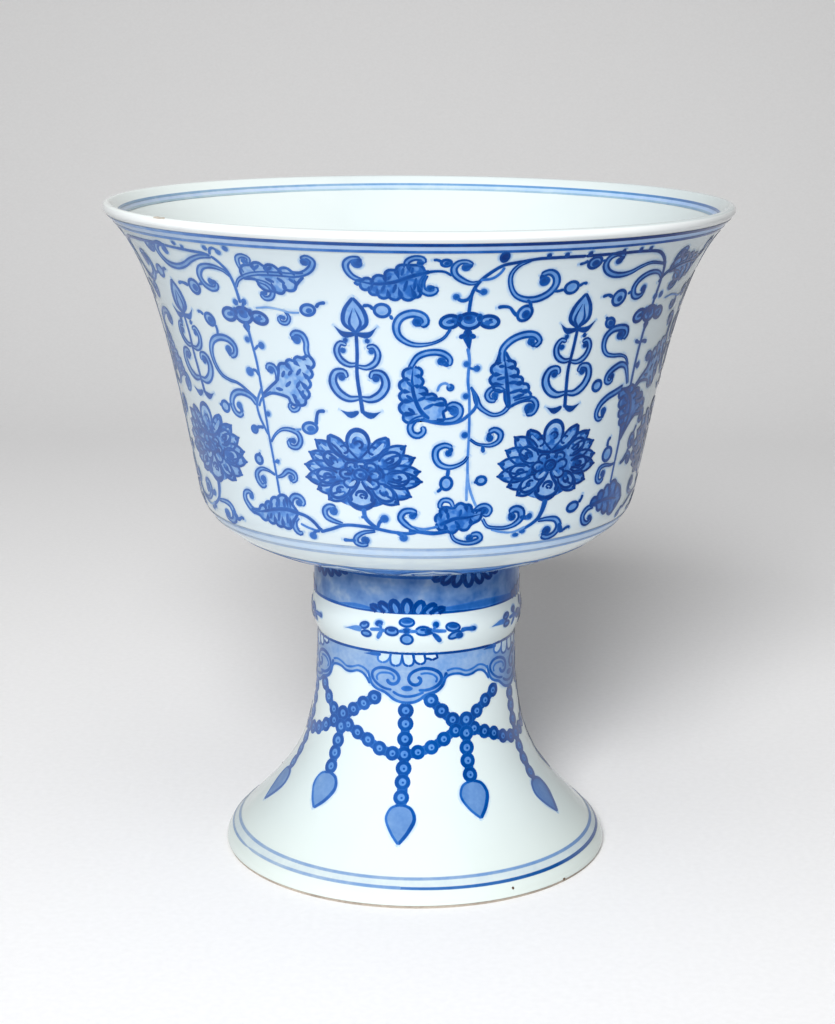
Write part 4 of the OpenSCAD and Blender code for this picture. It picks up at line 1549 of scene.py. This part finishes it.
# %% Neck wash and half flowers
neck_wash = wash("neck_wash", stem_sheet, 1, 0.46, finish=cobalt_pool)
neck_wash.band(72.5, 82.3)
neck_pool = wash("neck_pool", stem_sheet, 3, 0.7)
neck_pool.band(72.4, 73.2, 0.84)
neck_pool.band(81.0, 81.7, 0.72)
for x, y, long, half in (
    (40, 73.8, 34, 1.1), (-34, 73.4, 14, 0.6), (150, 73.7, 26, 0.9), (230, 73.5, 22, 0.8),
):
    low = y - 0.3
    neck_pool.line([(x - long, low), (x, y), (x + long, low)], (0.3, half, 0.3), 0.66, "tt", turns=(0,))
neck_line = lines("neck_lines", stem_sheet, 7, 1.0)
neck_light = wash("neck_flower_lights", stem_sheet, 4)
FAN = (
    (-14.6, -4.4, 0.44), (-10.6, -3.4, 0.7), (-5.6, -1.8, 0.9), (0, 0, 1.0),
    (5.6, 1.8, 0.88), (10.6, 3.4, 0.68), (14.6, 4.4, 0.4),
)
ARCH = marks("-2.5 0, -2.5 0.55, -1.25 0.92, 0 1, 1.25 0.92, 2.5 0.55, 2.5 0")


def half_flower(x, root, top):
    """A half flower of arched petals that lean outwards, from its foot to its tip."""
    for dx, lean, tall in FAN:
        arch = ARCH * (1, (top - root) * tall) + ARCH[:, 1:] * (lean, 0) + (x + dx, root)
        neck_line.line(arch, (0.5, 0.58, 0.64, 0.58, 0.5), ends="bb")
        tip = x + dx + 0.8 * lean, root + (top - root) * tall * 0.8
        neck_light.line([(x + dx, root), tip], (0.4, 0.5))


half_flower(-5, 72.6, 75.9)
half_flower(29, 82.2, 78.7)
tally(neck_wash, neck_pool, neck_line, neck_light)

# %% [markdown]
# ## Sprigs on the raised ring
# Four short sprays lie along the ring, each a bead flower with a twig to either side.

# %% Ring sprigs
TWIGS = (0, 85, 180, 265)
twig_wash = wash("ring_sprig_wash", stem_sheet, 1, 0.48, TWIGS)
twig_line = lines("ring_sprig_lines", stem_sheet, 7, 0.9, TWIGS, stem_bleed)
for x, y, rx, ry, lean, dark in (
    (-5, 70.5, 1.9, 1.15, 0, 0.75), (-5, 66.3, 1.6, 1.45, 0, 0), (-13, 68.2, 1.75, 1.15, 0, 0.5),
    (-28.4, 69, 1.35, 0.9, 20, 0.4), (-27.4, 67, 1.4, 0.9, 0, 0), (3.6, 68.5, 1.9, 1.2, 0, 0.4),
    (19.6, 69.1, 1.9, 1.15, -10, 0.7), (20.8, 67.1, 1.8, 0.95, 20, 0),
):
    twig_wash.dot(x, y, rx, ry, lean)
    twig_line.hoop(x, y, rx - 0.2, ry - 0.2, lean, 0.3)
    if dark:
        twig_line.dot(x, y + 0.3, rx * dark, ry * dark * 0.7, lean)
for x, y, rx, ry, lean in (
    (-5, 68.5, 1.1, 0.75, 0), (-20, 69.9, 1.05, 0.75, 15), (10.3, 69.9, 0.85, 0.8, 60),
    (6.6, 68.4, 1.1, 0.9, 0), (23.4, 66.9, 1.0, 0.85, 0), (31.6, 68.2, 0.85, 0.6, -5),
):
    twig_line.dot(x, y, rx, ry, lean, 0.92)
for text, half, ink, ends in (
    ("-9.4 68.3, -8 68.4, -6.5 68.4", 0.4, 0.7, "rr"), ("-3.5 68.4, -1 68.4, 0.6 68.5", 0.4, 0.7, "rr"),
    ("-16.4 68.2, -20 68.4, -25 68.2", (0.4, 0.45, 0.4), 0.64, "rr"),
    ("-20 69.8, -18.4 68.6", 0.36, 0.7, "rr"),
    ("-18 68.4, -19.6 67.2, -21 66", (0.3, 0.6, 0.4), 0.66, "rr"),
    ("-30 67.9, -34 67.9, -41 67.5", (0.8, 0.6, 0.25), 0.56, "rt"),
    ("8 68.6, 12 68.4, 16 68.3", (0.4, 0.45, 0.4), 0.64, "rr"), ("10 69.6, 9 68.6", 0.36, 0.7, "rr"),
    ("8.6 67.9, 10.6 67, 13.2 65.6", (0.4, 0.65, 0.6), 0.8, "rr"),
    ("24 68.1, 27 68.3, 31.5 68.1", (0.6, 0.5, 0.55), 0.74, "rr"),
):
    twig_line.line(text, half, ink, ends)
tally(twig_wash, twig_line)

# %% [markdown]
# ## Collar and bead net on the stem
# Five cloud heads hang from a pale collar. A net of beads swings between them, and under
# each head and each crossing hangs a drop. The same five turns serve for every piece.

# %% Collar
collar_wash = wash("collar_wash", stem_sheet, 1, 0.35, FIFTHS, cobalt_soft)
collar_wash.band(57.2, 62.45)
HEAD = (
    "-28 57.2, -26.8 55.6, -25 53.9, -22 53, -18 52.5, -15.4 51.8, -12.6 50.9, -9 50.3, -5 50.1, -1 50.3, "
    "2.4 51, 5 51.9, 8.4 52.4, 12 53, 14.8 54.2, 16.2 55.8, 17.2 57.4"
)
collar_wash.fill(HEAD, "-28 57.6, -22 57.6, -14 57.6, -5.5 57.6, 3 57.6, 11 57.6, 17.2 57.6")
collar_wash.fill(
    "17 56.6, 21 56.7, 25 56.7, 29 56.1, 33 56.2, 37 56.8, 40.5 56.5, 43.5 55.6",
    "17 57.8, 21 57.8, 25 57.8, 29 57.8, 33 57.8, 37 57.8, 40.5 57.8, 43.5 57.6",
)
collar_line = lines("collar_lines", stem_sheet, 7, 0.74, FIFTHS, stem_bleed)
collar_line.band(61.9, 62.5, 0.9)
collar_line.line(HEAD, (0.34, 0.36, 0.45), (0.66, 0.7, 0.86))
collar_line.line("-13 52.7, -9.4 51.9, -5 51.6, -0.6 51.9, 4.4 52.7", 0.34)
collar_line.line(
    "15 54.4, 17.4 56.3, 21 56.8, 25 56.7, 29 56.1, 33 56.2, 37 56.8, 40.5 56.5, 43.4 55.4, 45.4 54",
    0.32,
)
collar_line.line("17.4 57.7, 21 58.1, 25 57.9, 29 57.2, 33 57.4, 38 58.1, 42 57.6, 45 56.4", 0.28, 0.64)
collar_line.line(
    "-13.6 53.1, -18 53.4, -22 54.3, -24.8 55.6, -25.2 56.8, -23 57.9, -18.5 58.4, -14 58.1, "
    "-10.8 57.3, -9.5 56.1, -10.4 55, -13 54.5, -15.4 54.9, -16.2 55.7", (0.3, 0.36, 0.4, 0.46),
)
collar_line.line(
    "-21.8 55.1, -22.4 56, -20.8 56.9, -17.4 57.2, -13.8 57, -12.2 56.2, -12.8 55.6", 0.28, 0.62,
)
collar_line.line(
    "1.4 53.2, 5 53.2, 9 53.6, 12.6 54.5, 14.4 55.8, 13.4 57.2, 10 58.2, 5 58.6, 0.5 58.2, -3 57.2, "
    "-4.1 55.9, -2.6 54.8, 0 54.5, 2.2 55, 2.6 55.9, 0.8 56.5", (0.36, 0.44, 0.4, 0.46),
    (0.7, 0.86, 0.8),
)
collar_line.line("11 55, 11.8 56, 9.6 57, 5.5 57.4, 2.4 57.2", 0.28, 0.66)
collar_line.dot(-5, 53.6, 1.4, 0.7)
fan_light = wash("collar_flower", stem_sheet, 4, 0.1, FIFTHS)
for x, low, half, slant in (
    (-17.6, 59.6, 3.5, -1.4), (-11, 59, 3.3, -0.5), (-4.6, 59.1, 3.2, 0.4),
    (1.4, 59.6, 3.2, 1), (8, 60.6, 3.4, 1),
):
    right, left = (
        [(x + w, 62.1), (x + w + slant / 2, 61), (x + w * 0.72 + slant, low + 0.45), (x + slant, low)]
        for w in (half, -half)
    )
    fan_light.fill(right, left)
    for edge in (right, left):
        collar_line.line(edge, 0.3, 0.6 + 0.015 * (x + 18), "br")
collar_line.line("-20 61.6, -24 61.6, -30.6 61.3", (0.55, 0.5, 0.25), ends="rt")
tally(collar_wash, collar_line, fan_light)

# %% Bead net
bead_wash = wash("bead_wash", stem_sheet, 4, 0.5, FIFTHS)
bead_line = lines("bead_lines", stem_sheet, 7, 0.88, FIFTHS)
cord_line = lines("bead_cords", stem_sheet, 1, 0.9, FIFTHS, stem_bleed)


def beads(path, spots, r=1.45):
    """A cord with beads on it, each a ring with a dark middle."""
    cord_line.line(path, 1.15)
    for x, y in marks(spots):
        bead_wash.dot(x, y, r, r)
        bead_line.hoop(x, y, r - 0.05, r - 0.05, half=0.54)
        bead_line.dot(x + 0.2, y - 0.12, 0.3)


beads(
    "-5.5 50.4, -5.6 42, -5.8 34, -6 25",
    "-5.5 48.2, -5.5 45, -5.6 41.3, -5.7 37.6, -5.8 34.3, -6 31, -6.2 27.3",
)
beads("4 52, 8.5 50.7, 14 48, 20 45.5, 27 43", "8.4 50.7, 14.2 48, 20.4 45.6", 1.35)
beads("27 43, 35.5 46.8, 42 48.8, 48.5 50.8, 52 52", "35.6 46.8, 42 48.9, 48.4 50.8", 1.3)
beads("-4 37.6, 1 38.2, 8 39.2, 15 41.1, 22 42.9, 27 43", "1.2 38.2, 8.2 39.3, 15 41.1, 21.8 42.9", 1.3)
beads(
    "27 43, 33 42.5, 39.5 41.3, 46 40.2, 53 38.8, 60 37.9, 66 37.6",
    "33 42.7, 39.6 41.4, 46.2 40.3, 53 38.8, 60 37.9", 1.3,
)
beads("28 46, 28 42, 27.5 38, 27 30", "28.4 45.2, 28 41.9, 27.4 38.4, 27 35.3, 27 31.9")
tally(cord_line, bead_wash, bead_line)

# %% Drops
drop_wash = wash("drop_wash", stem_sheet, 1, 0.46, FIFTHS, cobalt_soft)
drop_line = lines("drop_lines", stem_sheet, 7, 0.84, FIFTHS, stem_bleed)
for x, top, low, half in ((-6, 25.4, 15.7, 5.7), (27, 30.3, 21, 6.5)):
    right = [
        (x + 1.5, top), (x + half * 0.75, top - 0.9), (x + half, top - 3.2),
        (x + half * 0.62, top - 6.4), (x, low),
    ]
    left = [(2 * x - a, v) for a, v in right]
    drop_wash.fill(right, left)
    drop_line.line(right, (0.36, 0.5, 0.4))
    drop_line.line(left, 0.32, 0.7)
    drop_line.line([(x - 2.6, top - 0.2), (x, top + 0.1), (x + 2.6, top - 0.2)], 0.4)
tally(drop_wash, drop_line)

# %% [markdown]
# ## Rings on the foot and inside the lip
# Two fine rings run round the bell foot. The lower one was drawn with a fresh brush from
# the front to the right, so it starts dark and thins out. Two pale rings sit inside the lip.
# A few iron specks and a small chip in the lip show that the cup was fired and used.

# %% Foot rings, inner rim rings, kiln specks and chip
foot_wash = wash("foot_ring_wash", stem_sheet, 1, 0.08, finish=cobalt_even)
foot_wash.band(5.0, 7.1)
foot_line = lines("foot_rings", stem_sheet, 7, 0.4, finish=cobalt_ring)
foot_line.band(6.8, 7.6, 0.37)
foot_line.line(
    "-6.5 4.9, 10 4.75, 40 4.7, 70 4.9, 110 4.8, 150 4.8", (0.34, 0.42, 0.4, 0.3),
    (0.62, 0.74, 0.7, 0.4), turns=(0,),
)
foot_line.line("148 4.8, 200 4.8, 250 4.8, 299 4.8", (0.3, 0.36, 0.3), 0.38, "rt", turns=(0,))
foot_line.line("-64 4.85, -40 4.95, -20 5, -4 4.9", (0.34, 0.4, 0.4), (0.32, 0.36, 0.44), "tr", turns=(0,))
lip_wash = wash("inner_rim_wash", rim_sheet, 1, 0.15, finish=cobalt_thin)
lip_wash.band(4.3, 6.0)
inner_lines.band(4.0, 4.7, (0.5, 0.56, 0.5, 0.4, 0.4, 0.4, 0.44, 0.5, 0.5))
inner_lines.band(5.6, 6.2, 0.24)
speck = Brush("kiln_specks", stem_sheet, 5, 1.0, iron, "glaze", (0,))
speck.dot(29.5, 2.7, 0.3, 0.34)
speck.dot(49, 0.9, 0.4, 0.28)
speck.dot(140, 11, 0.26)
speck.dot(252, 19, 0.3, 0.24)
chip = Brush("lip_chip", rim_sheet, 5, 1.0, fresh_break, "porcelain", (0,))
chip.line("-50.8 0.15, -50 0.5, -49.2 0.2, -48.4 0.55, -47.6 0.25", (0.15, 0.44, 0.28, 0.42, 0.15))
tally(foot_line, inner_lines, speck, chip)

# %% [markdown]
# ## Firing
# Every brush dries into one mesh, named after what was painted with it.

# %% Dry the paint
for brush in Brush.kept:
    brush.dry()

# %% [markdown]
# ## Sizes and finish
# The painted cup may not outgrow the CAD model, so both boxes are kept side by side.

# %% Keep the boxes and finish
boxes = {"cad": cad_box, "visual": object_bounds()}
boxes = {k: [[float(c) for c in corner] for corner in box] for k, box in boxes.items()}
print("boxes", boxes)
